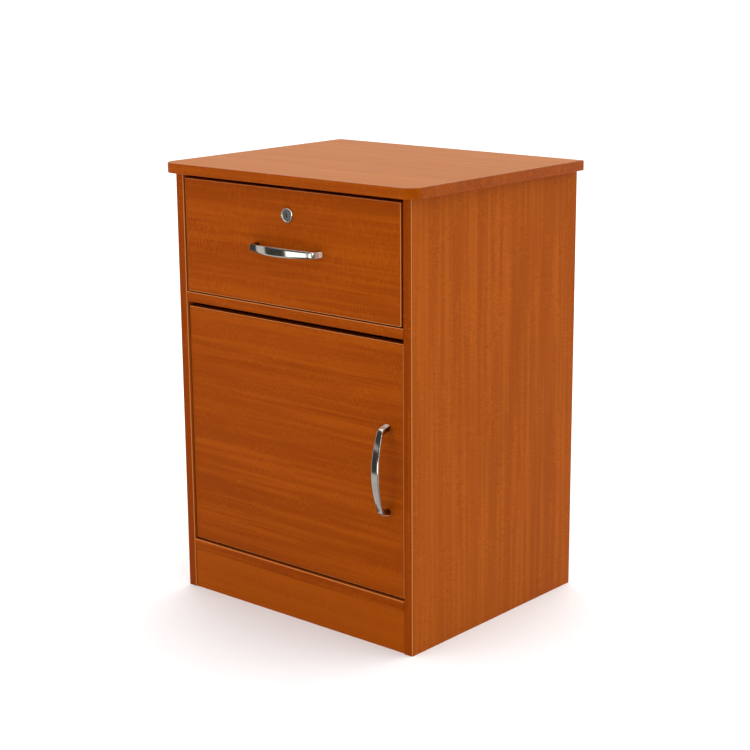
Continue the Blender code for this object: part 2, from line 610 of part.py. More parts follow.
# ---- Drawer lock --------------------------------------------------------------------------------
def lock(drawer):
    """Collar, case with its barrel, turning plug and rising bolt."""
    ring_in = LOCK_BARREL_RADIUS + SEAT_GAP
    stand = LOCK_COLLAR_STAND
    profile = [(ring_in, 0), (LOCK_COLLAR_RADIUS, 0), (LOCK_COLLAR_RADIUS, 0.3 * stand),
               (LOCK_COLLAR_RADIUS - 0.35 * stand, 0.8 * stand), (LOCK_COLLAR_RADIUS - 0.8 * stand, stand),
               (ring_in, 0.75 * stand)]
    bm = turned(profile, 40)
    bmesh.ops.rotate(bm, verts=bm.verts, cent=(0, 0, 0), matrix=TO_FRONT)
    seat = (0, DRAWER_FACE - SEAT_GAP, LOCK_HEIGHT)
    place(as_mesh(bm, "lock_collar", smooth=True), "lock_collar", seat, drawer, "chrome")

    width, depth, height = LOCK_CASE
    bottom = LOCK_HEIGHT - LOCK_CASE_BELOW
    case_top = bottom + height
    made = board("lock_body", (-width / 2, BOX_FRONT, bottom), (width / 2, BOX_FRONT + depth, case_top), drawer, "zinc")
    barrel_front = DRAWER_FACE - 0.7 * stand
    boolean(made, rod_tool("lock_barrel", LOCK_BARREL_RADIUS, BOX_FRONT + depth / 4 - barrel_front,
                           (0, barrel_front, LOCK_HEIGHT), TO_BACK, 40), "UNION")
    bore = LOCK_PLUG_RADIUS + RUNNING_GAP
    plug_end = BOX_FRONT + depth / 4
    boolean(made, rod_tool("lock_bore", bore, plug_end + RUNNING_GAP - DRAWER_FACE + BOARD,
                           (0, DRAWER_FACE - BOARD, LOCK_HEIGHT), TO_BACK, 32), "DIFFERENCE")
    bolt_top = TOP_UNDERSIDE - BOLT_REST_GAP
    bolt_bottom = bolt_top - BOLT[2]
    x, y = BOLT[0] / 2 + RUNNING_GAP, BOLT[1] / 2 + RUNNING_GAP
    middle = bolt_middle()
    boolean(made, box_tool("bolt_channel", (-x, middle - y, bolt_bottom - RUNNING_GAP),
                           (x, middle + y, case_top + BOARD)), "DIFFERENCE")

    face = barrel_front - SEAT_GAP
    length = plug_end - face
    bm = turned([(0, 0), (LOCK_PLUG_RADIUS - SEAT_GAP, 0), (LOCK_PLUG_RADIUS, SEAT_GAP), (LOCK_PLUG_RADIUS, length),
                 (0, length)], 32)
    bmesh.ops.rotate(bm, verts=bm.verts, cent=(0, 0, 0), matrix=TO_BACK)
    pivot = empty("lock_pivot", (0, face, LOCK_HEIGHT))
    pivot.parent = drawer
    pivot.location = Vector((0, face, LOCK_HEIGHT)) - drawer.location
    plug = bpy.data.objects.new("lock_plug", as_mesh(bm, "lock_plug", smooth=True))
    plug.data.materials.append(material("lock_plug_chrome", *FINISHES["chrome"]))
    plug.parent = pivot
    bpy.context.scene.collection.objects.link(plug)
    slot_x, slot_z = 0.14 * LOCK_PLUG_RADIUS, 0.62 * LOCK_PLUG_RADIUS
    boolean(plug, box_tool("keyway", (-slot_x, face - BOARD, LOCK_HEIGHT - slot_z),
                           (slot_x, face + BOARD / 2, LOCK_HEIGHT + slot_z)), "DIFFERENCE")
    board("lock_bolt", (-BOLT[0] / 2, middle - BOLT[1] / 2, bolt_bottom), (BOLT[0] / 2, middle + BOLT[1] / 2, bolt_top),
          drawer, "zinc")


# ---- Door ---------------------------------------------------------------------------------------
def door(pivot):
    """The door panel with its hinge cups and upright handle."""
    panel = banded_board("door_panel", (DOOR_LEFT, DOOR_FACE, DOOR_BOTTOM), (DOOR_RIGHT, DOOR_BACK, DOOR_TOP), pivot)
    centre = (DOOR_RIGHT - DOOR_HANDLE_INSET, DOOR_FACE - SEAT_GAP, DOOR_HANDLE_HEIGHT)
    for end, where in handle_feet(True):
        drill(panel, f"door_handle_{end}_hole", (centre[0], DOOR_FACE - BOARD, DOOR_HANDLE_HEIGHT + where.z))
    handle("door_handle", centre, True, pivot)
    for word, height in HINGE_HEIGHTS.items():
        pocket = rod_tool(f"{word}_cup_pocket", CUP_RADIUS + SEAT_GAP, CUP_DEPTH + SEAT_GAP + BOARD,
                          (CUP_CENTRE, DOOR_BACK + BOARD, height), TO_FRONT, 36)
        boolean(panel, pocket, "DIFFERENCE")
        hinge_cup(word, height, panel, pivot)


# ---- Concealed hinges ---------------------------------------------------------------------------
CUP_SCREW_SPACING = 0.048
CUP_SCREW_OFFSET = 0.0095
CUP_SCREW_LENGTH = 0.010
CUP_FLANGE = 0.0008


def hinge_cup(word, height, panel, pivot):
    """A pressed cup with a rim and two screwed ears, let into the back of the door."""
    rim = SEAT_GAP + CUP_FLANGE
    profile = [(0, -CUP_DEPTH), (CUP_RADIUS, -CUP_DEPTH), (CUP_RADIUS, rim), (0, rim)]
    bm = turned(profile, 36)
    bmesh.ops.rotate(bm, verts=bm.verts, cent=(0, 0, 0), matrix=TO_BACK)
    cup = place(as_mesh(bm, f"{word}_hinge_cup", smooth=True), f"{word}_hinge_cup",
                (CUP_CENTRE, DOOR_BACK, height), pivot, "zinc")
    reach = CUP_SCREW_SPACING / 2 + 0.007
    ears = box_tool(f"{word}_cup_ears", (CUP_CENTRE, DOOR_BACK + SEAT_GAP, height - reach),
                    (CUP_CENTRE + 2 * CUP_SCREW_OFFSET, DOOR_BACK + 0.9 * rim, height + reach))
    boolean(cup, ears, "UNION")
    mouth = rod_tool(f"{word}_cup_mouth", CUP_RADIUS - CUP_WALL, CUP_DEPTH + BOARD,
                     (CUP_CENTRE, DOOR_BACK - CUP_DEPTH + CUP_WALL, height), TO_BACK, 36)
    boolean(cup, mouth, "DIFFERENCE")
    for place_word, sign in (("lower", -1), ("upper", 1)):
        at = (CUP_CENTRE + CUP_SCREW_OFFSET, height + sign * CUP_SCREW_SPACING / 2)
        hole = rod_tool(f"{word}_cup_{place_word}_hole", SCREW_SHANK + SEAT_GAP, BOARD + CUP_SCREW_LENGTH,
                        (at[0], DOOR_BACK + BOARD, at[1]), TO_FRONT, 16)
        boolean(cup, hole, "DIFFERENCE")
        boolean(panel, hole, "DIFFERENCE")
        screw(f"{word}_cup_{place_word}_screw", (at[0], DOOR_BACK + rim + SEAT_GAP, at[1]), TO_FRONT, pivot,
              SCREW_SHANK, CUP_SCREW_LENGTH, SCREW_HEAD * 0.9, SCREW_HEAD_HEIGHT * 0.8)


def hinge_points():
    """Door axis, link's pivot on the arm and link's end in the closed cup, as X and Y.

    The link's end swings with the door about the door's axis. The arm's pivot lies as far from
    where that end starts as from where it is at full swing, so it is on their bisector.
    """
    corner = Vector((DOOR_LEFT, DOOR_FACE))
    axis = corner + Vector(HINGE_AXIS)
    end = corner + Vector(CUP_PIN)
    ray = (end - axis).normalized()
    ray.rotate(Matrix.Rotation(-math.radians(DOOR_SWING) / 2, 2))
    clear = BOARD + 2 * AXLE_RADIUS - HINGE_AXIS[1] - AXLE_RADIUS
    arm_pivot = axis + ray * (clear / ray.y)
    return axis, arm_pivot, end


LINK_HALF_WIDTH = 0.0038
LINK_THICKNESS = 0.0018
LINK_ARCH = 0.0060          # how far the link's middle bows away from its ends' line
LINK_PIN_RADIUS = 0.0012
ARM_EYE = 0.0026
LINK_EYE = 0.0022
LINK_TIP = 0.0011


def hinge_link(word, height):
    """The arched strap between the arm and the cup, its origin on its pivot in the arm."""
    _, arm_pivot, end = hinge_points()
    chord = end - arm_pivot
    half = chord.length / 2
    radius = (half ** 2 + LINK_ARCH ** 2) / (2 * LINK_ARCH)
    along = chord.normalized()
    across = Vector((-along.y, along.x))        # towards the cup's floor
    centre = chord / 2 - across * (radius - LINK_ARCH)
    spread = math.asin(half / radius)
    steps = 8
    rays = []
    for k in range(steps + 1):
        angle = -spread + 2 * spread * k / steps
        rays.append(across * math.cos(angle) + along * math.sin(angle))
    outer = [centre + ray * (radius + LINK_THICKNESS / 2) for ray in rays]
    inner = [centre + ray * (radius - LINK_THICKNESS / 2) for ray in reversed(rays)]
    bm = prism([tuple(p) for p in outer + inner], -LINK_HALF_WIDTH, LINK_HALF_WIDTH)
    name = f"{word}_hinge_link"
    made = place(as_mesh(bm, name), name, (*arm_pivot, height), None, "zinc")
    low = height - LINK_HALF_WIDTH
    full = 2 * LINK_HALF_WIDTH
    boolean(made, rod_tool(f"{name}_eye", LINK_EYE, full, (*arm_pivot, low), None, 20), "UNION")
    boolean(made, rod_tool(f"{name}_tip", LINK_TIP, full, (*end, low), None, 16), "UNION")
    boolean(made, rod_tool(f"{name}_bore", LINK_PIN_RADIUS + SEAT_GAP, 2 * full, (*arm_pivot, low - full / 2),
                           None, 16), "DIFFERENCE")


ARM_HALF_WIDTH = 0.007
PLATE_THICKNESS = 0.003
PLATE_HALF = (0.024, 0.0085, 0.011)     # half length along Y, half wing depth along Y, half spine height
PLATE_WING = 0.024                      # half height of the wings


def hinge_arm(word, height):
    """The cranked arm from the mounting plate to the link's pivot, forked around the link."""
    _, arm_pivot, _ = hinge_points()
    base = -INNER + SEAT_GAP + PLATE_THICKNESS + SEAT_GAP
    tip_x, tip_y = arm_pivot
    rear = PLATE_CENTRE + PLATE_HALF[0]
    corners = [
        (tip_x - ARM_EYE, tip_y - 0.4 * ARM_EYE),
        (tip_x - 6.0 * ARM_EYE, tip_y + 0.8 * ARM_EYE),
        (tip_x - 8.4 * ARM_EYE, tip_y + 2.4 * ARM_EYE),
        (base, tip_y + 5.6 * ARM_EYE),
        (base, rear),
        (base + 0.0075, rear),
        (base + 0.0075, tip_y + 8.6 * ARM_EYE),
        (base + 0.0135, tip_y + 4.0 * ARM_EYE),
        (tip_x + 0.9 * ARM_EYE, tip_y + ARM_EYE),
        (tip_x + ARM_EYE, tip_y - 0.4 * ARM_EYE),
        (tip_x, tip_y - ARM_EYE),
    ]
    name = f"{word}_hinge_arm"
    outline = [(x - tip_x, y - tip_y) for x, y in fillet(corners, {2: 0.006, 6: 0.006, 7: 0.006}, 3)]
    bm = prism(outline, -ARM_HALF_WIDTH, ARM_HALF_WIDTH)
    made = place(as_mesh(bm, name), name, (tip_x, tip_y, height), None, "zinc")
    slot = LINK_HALF_WIDTH + SEAT_GAP
    reach = LINK_EYE + RUNNING_GAP
    cut = box_tool(f"{name}_fork", (tip_x - 8 * ARM_EYE, tip_y - BOARD, height - slot),
                   (tip_x + BOARD, tip_y + reach, height + slot))
    boolean(made, cut, "DIFFERENCE")
    pin = rod_tool(f"{name}_pin", LINK_PIN_RADIUS, 2 * ARM_HALF_WIDTH - 0.001,
                   (tip_x, tip_y, height - ARM_HALF_WIDTH + 0.0005), None, 12)
    boolean(made, pin, "UNION")


def mounting_plate(word, height, panel):
    """The cross-shaped plate that carries the arm, with a screw through each wing."""
    low = -INNER + SEAT_GAP
    high = low + PLATE_THICKNESS
    name = f"{word}_mounting_plate"
    made = board(name, (low, PLATE_CENTRE - PLATE_HALF[0], height - PLATE_HALF[2]),
                 (high, PLATE_CENTRE + PLATE_HALF[0], height + PLATE_HALF[2]), None, "zinc")
    wings = box_tool(f"{name}_wings", (low, PLATE_CENTRE - PLATE_HALF[1], height - PLATE_WING),
                     (high, PLATE_CENTRE + PLATE_HALF[1], height + PLATE_WING))
    boolean(made, wings, "UNION")
    for place_word, sign in (("lower", -1), ("upper", 1)):
        at = (PLATE_CENTRE, height + sign * PLATE_SCREW_SPACING / 2)
        hole = rod_tool(f"{name}_{place_word}_hole", SCREW_SHANK + SEAT_GAP, 0.7 * BOARD + BOARD,
                        (-INNER + BOARD, *at), TO_LEFT, 16)
        boolean(made, hole, "DIFFERENCE")
        boolean(panel, hole, "DIFFERENCE")
        screw(f"{word}_plate_{place_word}_screw", (high + SEAT_GAP, *at), TO_LEFT, None, SCREW_SHANK,
              0.6 * BOARD + PLATE_THICKNESS, SCREW_HEAD * 0.9, SCREW_HEAD_HEIGHT)


# ---- Assembly -----------------------------------------------------------------------------------
def main():
    for leftover in list(bpy.data.objects):
        bpy.data.objects.remove(leftover, do_unlink=True)
    drawer = empty("drawer_carriage", (0, DRAWER_FACE, DRAWER_BOTTOM))
    axis, _, _ = hinge_points()
    door_pivot = empty("door_pivot", (*axis, DOOR_BOTTOM))
    carcass()
    lock_strike()
    runners(drawer)
    drawer_body(drawer)
    handle("drawer_handle", (0, DRAWER_FACE - SEAT_GAP, DRAWER_HANDLE_HEIGHT), False, drawer)
    lock(drawer)
    door(door_pivot)
    left_side = bpy.data.objects["left_side_panel"]
    for word, height in HINGE_HEIGHTS.items():
        mounting_plate(word, height, left_side)
        hinge_arm(word, height)
        hinge_link(word, height)


main()
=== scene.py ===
"""A ward bedside cabinet in red-brown wood laminate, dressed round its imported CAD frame.

The frame is in metres, with +Z up and -Y out of the drawer and the door. Each new piece is a
surface worked out as whole numpy arrays from a few lengths, and each finish is a graph of
shader nodes on Object coordinates.
"""

import logging
import math
from collections.abc import Sequence
from dataclasses import dataclass
from enum import Enum
from typing import ClassVar

import bmesh
import bpy
import numpy as np
from mathutils import Matrix, Vector
from mathutils.geometry import tessellate_polygon


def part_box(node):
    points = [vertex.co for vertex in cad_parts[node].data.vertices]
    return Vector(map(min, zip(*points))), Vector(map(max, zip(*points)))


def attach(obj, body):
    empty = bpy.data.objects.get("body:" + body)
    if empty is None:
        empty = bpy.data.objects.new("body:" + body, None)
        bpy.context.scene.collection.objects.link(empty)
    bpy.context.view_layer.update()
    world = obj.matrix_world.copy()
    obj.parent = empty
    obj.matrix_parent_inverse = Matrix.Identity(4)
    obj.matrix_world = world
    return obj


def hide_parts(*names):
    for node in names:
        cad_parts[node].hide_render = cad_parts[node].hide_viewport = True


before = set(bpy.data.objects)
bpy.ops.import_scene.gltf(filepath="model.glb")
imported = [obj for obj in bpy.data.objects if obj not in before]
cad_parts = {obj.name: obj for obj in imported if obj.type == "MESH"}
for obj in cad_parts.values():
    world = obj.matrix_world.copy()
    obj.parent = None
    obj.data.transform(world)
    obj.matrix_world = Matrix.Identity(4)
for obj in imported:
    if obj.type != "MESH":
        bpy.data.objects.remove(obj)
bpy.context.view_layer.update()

LOG = logging.getLogger("bedside_cabinet")
Array = np.ndarray
Triple = tuple[float, float, float]
Colour = Triple

HAIRLINE = 0.00008          # width of the joint line between a board and its edge band
SEAT = 0.0003               # the CAD frame's gap between pieces that touch
BAND = 0.002                # thickness of the edge bands
ARRIS = 0.0014              # rounding of the bands' outer edges
ROUND_STEPS = 48            # points round a circle
BAND_STEPS = 6              # pieces of the quarter circle of a band's arris
FRAME_STEPS = 5             # the same on the bands of the drawer front and the door
LEAST_RADIUS = 0.00001      # keeps the points of a sharp corner apart until they are merged
MERGE_DISTANCE = 1e-7


# ---- Shader expressions -------------------------------------------------------------------------
class Shade:
    """A shader socket; arithmetic on it adds Math nodes to its graph."""

    def __init__(self, graph: "Graph", socket: bpy.types.NodeSocket) -> None:
        """Hold a socket and the graph that it belongs to."""
        self.graph = graph
        self.socket = socket

    def _math(self, operation: str, *values: "Shade | float") -> "Shade":
        """Add one Math node."""
        return self.graph.node("Math", {"operation": operation}, dict(enumerate(values)))

    def __add__(self, other: "Shade | float") -> "Shade":
        """Sum."""
        return self._math("ADD", self, other)

    __radd__ = __add__

    def __mul__(self, other: "Shade | float") -> "Shade":
        """Product."""
        return self._math("MULTIPLY", self, other)

    __rmul__ = __mul__

    def __sub__(self, other: "Shade | float") -> "Shade":
        """Difference."""
        return self._math("SUBTRACT", self, other)

    def __rsub__(self, other: float) -> "Shade":
        """Difference from a number."""
        return self._math("SUBTRACT", other, self)

    def at_least(self, other: "Shade | float") -> "Shade":
        """The larger of the two."""
        return self._math("MAXIMUM", self, other)

    def ramp(self, low: float, high: float, start: float = 0.0, end: float = 1.0) -> "Shade":
        """A smooth, clamped step.

        Args:
            low: The value at which the step starts.
            high: The value at which it ends.
            start: What the step gives at and below low.
            end: What it gives at and above high.

        Returns:
            The stepped value.
        """
        settings = {"interpolation_type": "SMOOTHSTEP"}
        return self.graph.node("MapRange", settings, {"Value": self, "From Min": low, "From Max": high,
                                                      "To Min": start, "To Max": end})


class Graph:
    """The nodes of one material or world."""

    def __init__(self, owner: "bpy.types.Material | bpy.types.World") -> None:
        """Empty the owner's node tree.

        Args:
            owner: The material or world that the nodes are for.
        """
        owner.use_nodes = True
        self.owner = owner
        self.tree = owner.node_tree
        self.tree.nodes.clear()

    def node(self, kind: str, settings: dict | None = None, inputs: dict | None = None,
             output: "int | str" = 0) -> Shade:
        """Add any node.

        Args:
            kind: The node's type, without its ShaderNode prefix.
            settings: Its properties, which are set first.
            inputs: Values or links of its sockets, by name or index.
            output: The socket that is handed back.

        Returns:
            The chosen output.
        """
        made = self.tree.nodes.new(f"ShaderNode{kind}")
        for key, value in (settings or {}).items():
            setattr(made, key, value)
        for key, value in (inputs or {}).items():
            if isinstance(value, Shade):
                self.tree.links.new(value.socket, made.inputs[key])
            else:
                made.inputs[key].default_value = value
        return Shade(self, made.outputs[output] if len(made.outputs) else None)

    def place(self) -> Shade:
        """Object coordinates."""
        return self.node("TexCoord", output="Object")

    def stretched(self, place: Shade, scale: Triple, offset: Triple = (0.0, 0.0, 0.0)) -> Shade:
        """Coordinates moved and then scaled on each axis."""
        moved = self.node("VectorMath", {"operation": "ADD"}, {0: place, 1: offset})
        return self.node("VectorMath", {"operation": "MULTIPLY"}, {0: moved, 1: scale})

    def noise(self, place: Shade, scale: float = 1.0, detail: float = 2.0, rough: float = 0.5,
              twist: float = 0.0) -> Shade:
        """Fractal noise from 0 to 1.

        Args:
            place: Where it is read.
            scale: How many features there are to a unit.
            detail: How many finer layers it has.
            rough: How strong each finer layer is.
            twist: How far the pattern is distorted by itself.

        Returns:
            The noise.
        """
        return self.node("TexNoise", None, {"Vector": place, "Scale": scale, "Detail": detail,
                                            "Roughness": rough, "Distortion": twist})

    def mix(self, share: "Shade | float", first: "Shade | Colour", second: "Shade | Colour") -> Shade:
        """A mix of two colours.

        Args:
            share: How much of the second there is, from 0 to 1.
            first: The colour at share 0.
            second: The colour at share 1.

        Returns:
            The mixed colour.
        """
        inputs = {0: share, 6: self._colour(first), 7: self._colour(second)}
        return self.node("Mix", {"data_type": "RGBA", "clamp_factor": True}, inputs, 2)

    @staticmethod
    def _colour(value: "Shade | Colour") -> "Shade | tuple[float, ...]":
        """A colour with its alpha, where it is written as numbers."""
        return value if isinstance(value, Shade) else (*value, 1.0)

    def bump(self, height: Shade, depth: float) -> Shade:
        """A surface normal pushed by a height, which is worth depth metres at 1."""
        return self.node("Bump", None, {"Height": height, "Distance": depth, "Strength": 1.0})

    def surface(self, **sockets: "Shade | float | Colour") -> bpy.types.Material:
        """Finish the material with a Principled shader.

        Args:
            **sockets: Its inputs, with underscores for spaces.

        Returns:
            The material.
        """
        inputs = {}
        for key, value in sockets.items():
            inputs[key.replace("_", " ")] = self._colour(value) if isinstance(value, tuple) else value
        shader = self.node("BsdfPrincipled", None, inputs)
        self.node("OutputMaterial", None, {"Surface": shader})
        return self.owner


# ---- Finishes -----------------------------------------------------------------------------------
class Grain(Enum):
    """The axis that a board's wood grain follows."""

    ACROSS = 0
    BACKWARD = 1
    UPRIGHT = 2


@dataclass(frozen=True)
class Laminate:
    """Printed wood-grain laminate: soft ribbons along the grain and faint ripples across it.

    Where a piece's arris marks are above 0 it takes a lighter colour there, a painted highlight along those
    rounded arrises.
    """

    name: str
    grain: Grain
    offset: Triple = (0.0, 0.0, 0.0)
    dark: Colour = (0.218, 0.0325, 0.0002)
    light: Colour = (0.328, 0.0625, 0.0016)
    lift: float = 0.0
    contrast: float = 1.0
    roughness: float = 0.42
    specular: float = 0.06
    sheen: Colour = (1.0, 0.46, 0.10)
    # painted highlight: the lit colour laid on the marked arrises
    wear_and_highlight: Colour = (0.60, 0.225, 0.072)

    def _along(self, along: float, across: float) -> Triple:
        """Pattern scales on X, Y and Z.

        Args:
            along: The scale along the grain.
            across: The scale on the other two axes.

        Returns:
            The three scales.
        """
        scale = [across, across, across]
        scale[self.grain.value] = along
        return tuple(scale)

    def material(self) -> bpy.types.Material:
        """Build the shader.

        Returns:
            The laminate's material.
        """
        g = Graph(bpy.data.materials.new(self.name))
        place = g.place()
        clouds = g.noise(g.stretched(place, self._along(1.4, 16.0), self.offset), 1.0, 2.0, 0.5, 0.4)
        ribbons = g.noise(g.stretched(place, self._along(2.6, 115.0), self.offset), 1.0, 3.0, 0.62, 0.25)
        threads = g.noise(g.stretched(place, self._along(9.0, 420.0), self.offset), 1.0, 2.0, 0.6)
        patches = g.noise(g.stretched(place, self._along(16.0, 34.0), self.offset), 1.0, 2.0, 0.5, 0.6)
        ripple = g.noise(g.stretched(place, self._along(640.0, 130.0), self.offset), 1.0, 2.0, 0.6, 0.3)
        specks = g.noise(place, 1500.0, 1.0, 0.5)
        streaks = ribbons.ramp(0.42, 0.74)
        tone = (clouds - 0.5) * 0.62 + streaks * 0.38 + (threads - 0.5) * 0.36 - 0.11
        figured = patches.ramp(0.38, 0.66)
        tone = tone + (ripple - 0.46) * (figured * (streaks * 1.3 + 1.0) + 0.32) + (specks - 0.5) * 0.70
        tone = tone * self.contrast + (0.5 + self.lift)
        colour = g.mix(tone.ramp(0.05, 0.95), self.dark, self.light)
        # painted highlight: the marked arrises are mixed towards the lighter colour
        arris = g.node("Attribute", {"attribute_name": "arris"}, output="Fac")
        colour = g.mix(arris * 0.95, colour, self.wear_and_highlight)
        pores = g.noise(g.stretched(place, self._along(60.0, 1900.0), self.offset), 1.0, 1.0, 0.5)
        height = pores * 0.6 + specks * 0.4
        gloss = (threads - 0.5) * 0.10 + (figured * 0.03 + self.roughness)
        return g.surface(Base_Color=colour, Roughness=gloss, Specular_IOR_Level=self.specular,
                         Specular_Tint=self.sheen, Normal=g.bump(height, 0.000015))


@dataclass(frozen=True)
class Plating:
    """Bright metal plate with fine rubbed lines and faint cloudy patches.

    A piece's marks above 0 shade it, and its marks below 0 make it rougher and less metallic.
    """

    name: str
    colour: Colour
    roughness: float
    shaded: Colour = (0.10, 0.07, 0.045)
    lines: Triple = (40.0, 900.0, 900.0)
    depth: float = 0.0000015

    def material(self) -> bpy.types.Material:
        """Build the shader.

        Returns:
            The plate's material.
        """
        g = Graph(bpy.data.materials.new(self.name))
        place = g.place()
        rubbed = g.noise(g.stretched(place, self.lines), 1.0, 2.0, 0.6)
        cloudy = g.noise(place, 55.0, 3.0, 0.55)
        dull = tuple(c * 0.86 for c in self.colour)
        mark = g.node("Attribute", {"attribute_name": "arris"}, output="Fac")
        end = (0.0 - mark).at_least(0.0)
        bright = g.mix(cloudy.ramp(0.35, 0.75), self.colour, dull)
        gloss = (rubbed - 0.5) * 0.08 + ((cloudy - 0.5) * 0.10 + self.roughness)
        return g.surface(Base_Color=g.mix(mark, bright, self.shaded), Metallic=1.0 - end * 0.9,
                         Roughness=(gloss + end * 0.25).at_least(0.03), Normal=g.bump(rubbed, self.depth))


@dataclass(frozen=True)
class Coating:
    """A non-metal skin with a fine texture, such as powder coat, melamine or moulded nylon."""

    name: str
    colour: Colour
    shade: Colour
    roughness: float
    texture: Triple = (900.0, 900.0, 900.0)
    depth: float = 0.00002
    specular: float = 0.5

    def material(self) -> bpy.types.Material:
        """Build the shader.

        Returns:
            The coating's material.
        """
        g = Graph(bpy.data.materials.new(self.name))
        place = g.place()
        grain = g.noise(g.stretched(place, self.texture), 1.0, 3.0, 0.6)
        wear_and_highlight = g.noise(place, 24.0, 3.0, 0.6, 0.4)
        share = wear_and_highlight.ramp(0.30, 0.75) * 0.5 + (grain - 0.5) * 0.8
        return g.surface(Base_Color=g.mix(share, self.colour, self.shade),
                         Roughness=(grain - 0.5) * 0.12 + self.roughness,
                         Specular_IOR_Level=self.specular, Normal=g.bump(grain, self.depth))


# ---- Surfaces -----------------------------------------------------------------------------------
@dataclass(frozen=True)
class Axes:
    """A right-handed set of directions with a starting point: two across a piece and one through it."""

    origin: Triple
    u: Triple
    v: Triple

    def to_frame(self, points: Array) -> Array:
        """Points given along u, v and their cross product, in the part's frame."""
        w = np.cross(self.u, self.v)
        return np.asarray(self.origin) + points @ np.array([self.u, self.v, w])


class Shell:
    """One piece's mesh while it is put together from grids and caps."""

    def __init__(self) -> None:
        """Start with nothing."""
        self.points: list[Array] = []
        self.marks: list[Array] = []
        self.faces: list[list[int]] = []
        self.count = 0

    def add_points(self, points: Array, arris: "Array | float" = 0.0) -> Array:
        """Take in points, and hand back their numbers in the same arrangement.

        Args:
            points: The points, in any arrangement.
            arris: Each one's mark: how far it lies on a rounded arris, from 0 to 1, or what its
                finish says of other marks.

        Returns:
            Their numbers.
        """
        flat = points.reshape(-1, 3)
        self.marks.append(np.broadcast_to(arris, points.shape[:-1]).reshape(-1))
        numbers = np.arange(len(flat)) + self.count
        self.points.append(flat)
        self.count += len(flat)
        return numbers.reshape(points.shape[:-1])

    def grid(self, numbers: Array, around: bool = True, along: bool = False) -> None:
        """Lay quads over a grid of point numbers.

        Args:
            numbers: Rows of point numbers.
            around: Whether each row closes on itself.
            along: Whether the last row joins the first.
        """
        if around:
            numbers = np.concatenate([numbers, numbers[:, :1]], axis=1)
        if along:
            numbers = np.concatenate([numbers, numbers[:1]], axis=0)
        quads = np.stack([numbers[:-1, :-1], numbers[:-1, 1:], numbers[1:, 1:], numbers[1:, :-1]], axis=-1)
        self.faces += quads.reshape(-1, 4).tolist()

    def cap(self, loop: Array) -> None:
        """Close a flat loop of point numbers with one face."""
        self.faces.append(loop.tolist())

    def fill(self, loops: Sequence[Array]) -> None:
        """Fill a flat region that has holes.

        Args:
            loops: Loops of point numbers, the outer one first and then one for each hole.
        """
        points = np.concatenate(self.points)
        numbers = np.concatenate(loops)
        triangles = tessellate_polygon([[Vector(points[i]) for i in loop] for loop in loops])
        self.faces += [[int(numbers[i]) for i in t] for t in triangles]

    def build(self, name: str, smooth: float = 35.0) -> bpy.types.Object:
        """Make the object.

        Args:
            name: The piece's name.
            smooth: The sharpest edge, in degrees, that is still shaded smooth.

        Returns:
            The object, at the origin, with its faces pointing outwards.
        """
        mesh = bpy.data.meshes.new(name)
        mesh.from_pydata(np.concatenate(self.points).tolist(), [], self.faces)
        mesh.validate()
        marks = mesh.attributes.new("arris", "FLOAT", "POINT")
        marks.data.foreach_set("value", np.concatenate(self.marks).astype(np.float32))
        made = bpy.data.objects.new(name, mesh)
        bpy.context.scene.collection.objects.link(made)
        outward(mesh)
        mesh.shade_smooth()
        mesh.set_sharp_from_angle(angle=math.radians(smooth))
        even = made.modifiers.new("even_shading", "WEIGHTED_NORMAL")
        even.keep_sharp = True
        even.weight = 80
        return made


def outward(mesh: bpy.types.Mesh) -> None:
    """Merge a mesh's double points and turn its faces so that all of them point out.

    Args:
        mesh: The mesh.
    """
    bm = bmesh.new()
    bm.from_mesh(mesh)
    bmesh.ops.remove_doubles(bm, verts=bm.verts, dist=MERGE_DISTANCE)
    bmesh.ops.recalc_face_normals(bm, faces=bm.faces)
    bm.to_mesh(mesh)
    bm.free()


def rounded_rectangle(half_u: float, half_v: float, radii: Sequence[float], steps: int = 5) -> Array:
    """A rectangle with rounded corners, anticlockwise from its lower left corner.

    Each corner is a quarter circle: its centre lies one radius in from both sides, and its points
    are that centre plus the radius times the cosine and sine of evenly spaced angles.

    Args:
        half_u: Half its width.
        half_v: Half its height.
        radii: The radii at lower left, lower right, upper right and upper left.
        steps: How many pieces each quarter circle has.

    Returns:
        Points as rows of u and v.
    """
    signs = np.array([(-1, -1), (1, -1), (1, 1), (-1, 1)], float)
    start = np.radians([180.0, 270.0, 0.0, 90.0])
    r = np.maximum(np.asarray(radii, float), LEAST_RADIUS)[:, None]
    angles = start[:, None] + np.linspace(0, math.pi / 2, steps + 1)[None, :]
    centres = signs * (np.array([half_u, half_v]) - r)
    points = centres[:, None, :] + r[..., None] * np.stack([np.cos(angles), np.sin(angles)], axis=-1)
    return points.reshape(-1, 2)


def circle(radius: float, steps: int = ROUND_STEPS) -> Array:
    """Points of a circle, anticlockwise: its radius times the cosine and sine of even turns."""
    turn = np.linspace(0, 2 * math.pi, steps, endpoint=False)
    return radius * np.stack([np.cos(turn), np.sin(turn)], axis=-1)


def raised(outline: Array, height: float) -> Array:
    """An outline's points, all at one height."""
    return np.column_stack([outline, np.full(len(outline), height)])


def turned(profile: Array, steps: int = ROUND_STEPS) -> Array:
    """Rings of a profile turned about w: each radius times a circle, at its own height."""
    heights = np.repeat(profile[:, 1:], steps, axis=1)
    return np.concatenate([profile[:, :1, None] * circle(1.0, steps), heights[..., None]], axis=-1)


def rounded_edge(thickness: float, low: float, high: float, steps: int = 4) -> Array:
    """A board's edge in section, from its low face to its high one.

    Both ends are quarter circles, so the section is how far the surface has drawn in from the
    board's outline, as one radius less its sine, against how high it has risen.

    Args:
        thickness: The board's thickness.
        low: The rounding at the low face.
        high: The rounding at the high face.
        steps: How many pieces each quarter circle has.

    Returns:
        Rows of inset and height.
    """
    angles = np.linspace(0, math.pi / 2, steps + 1)
    bottom = np.stack([low * (1 - np.sin(angles)), low * (1 - np.cos(angles))], axis=-1)
    top = np.stack([high * (1 - np.cos(angles)), thickness - high * (1 - np.sin(angles))], axis=-1)
    return np.concatenate([bottom, top])
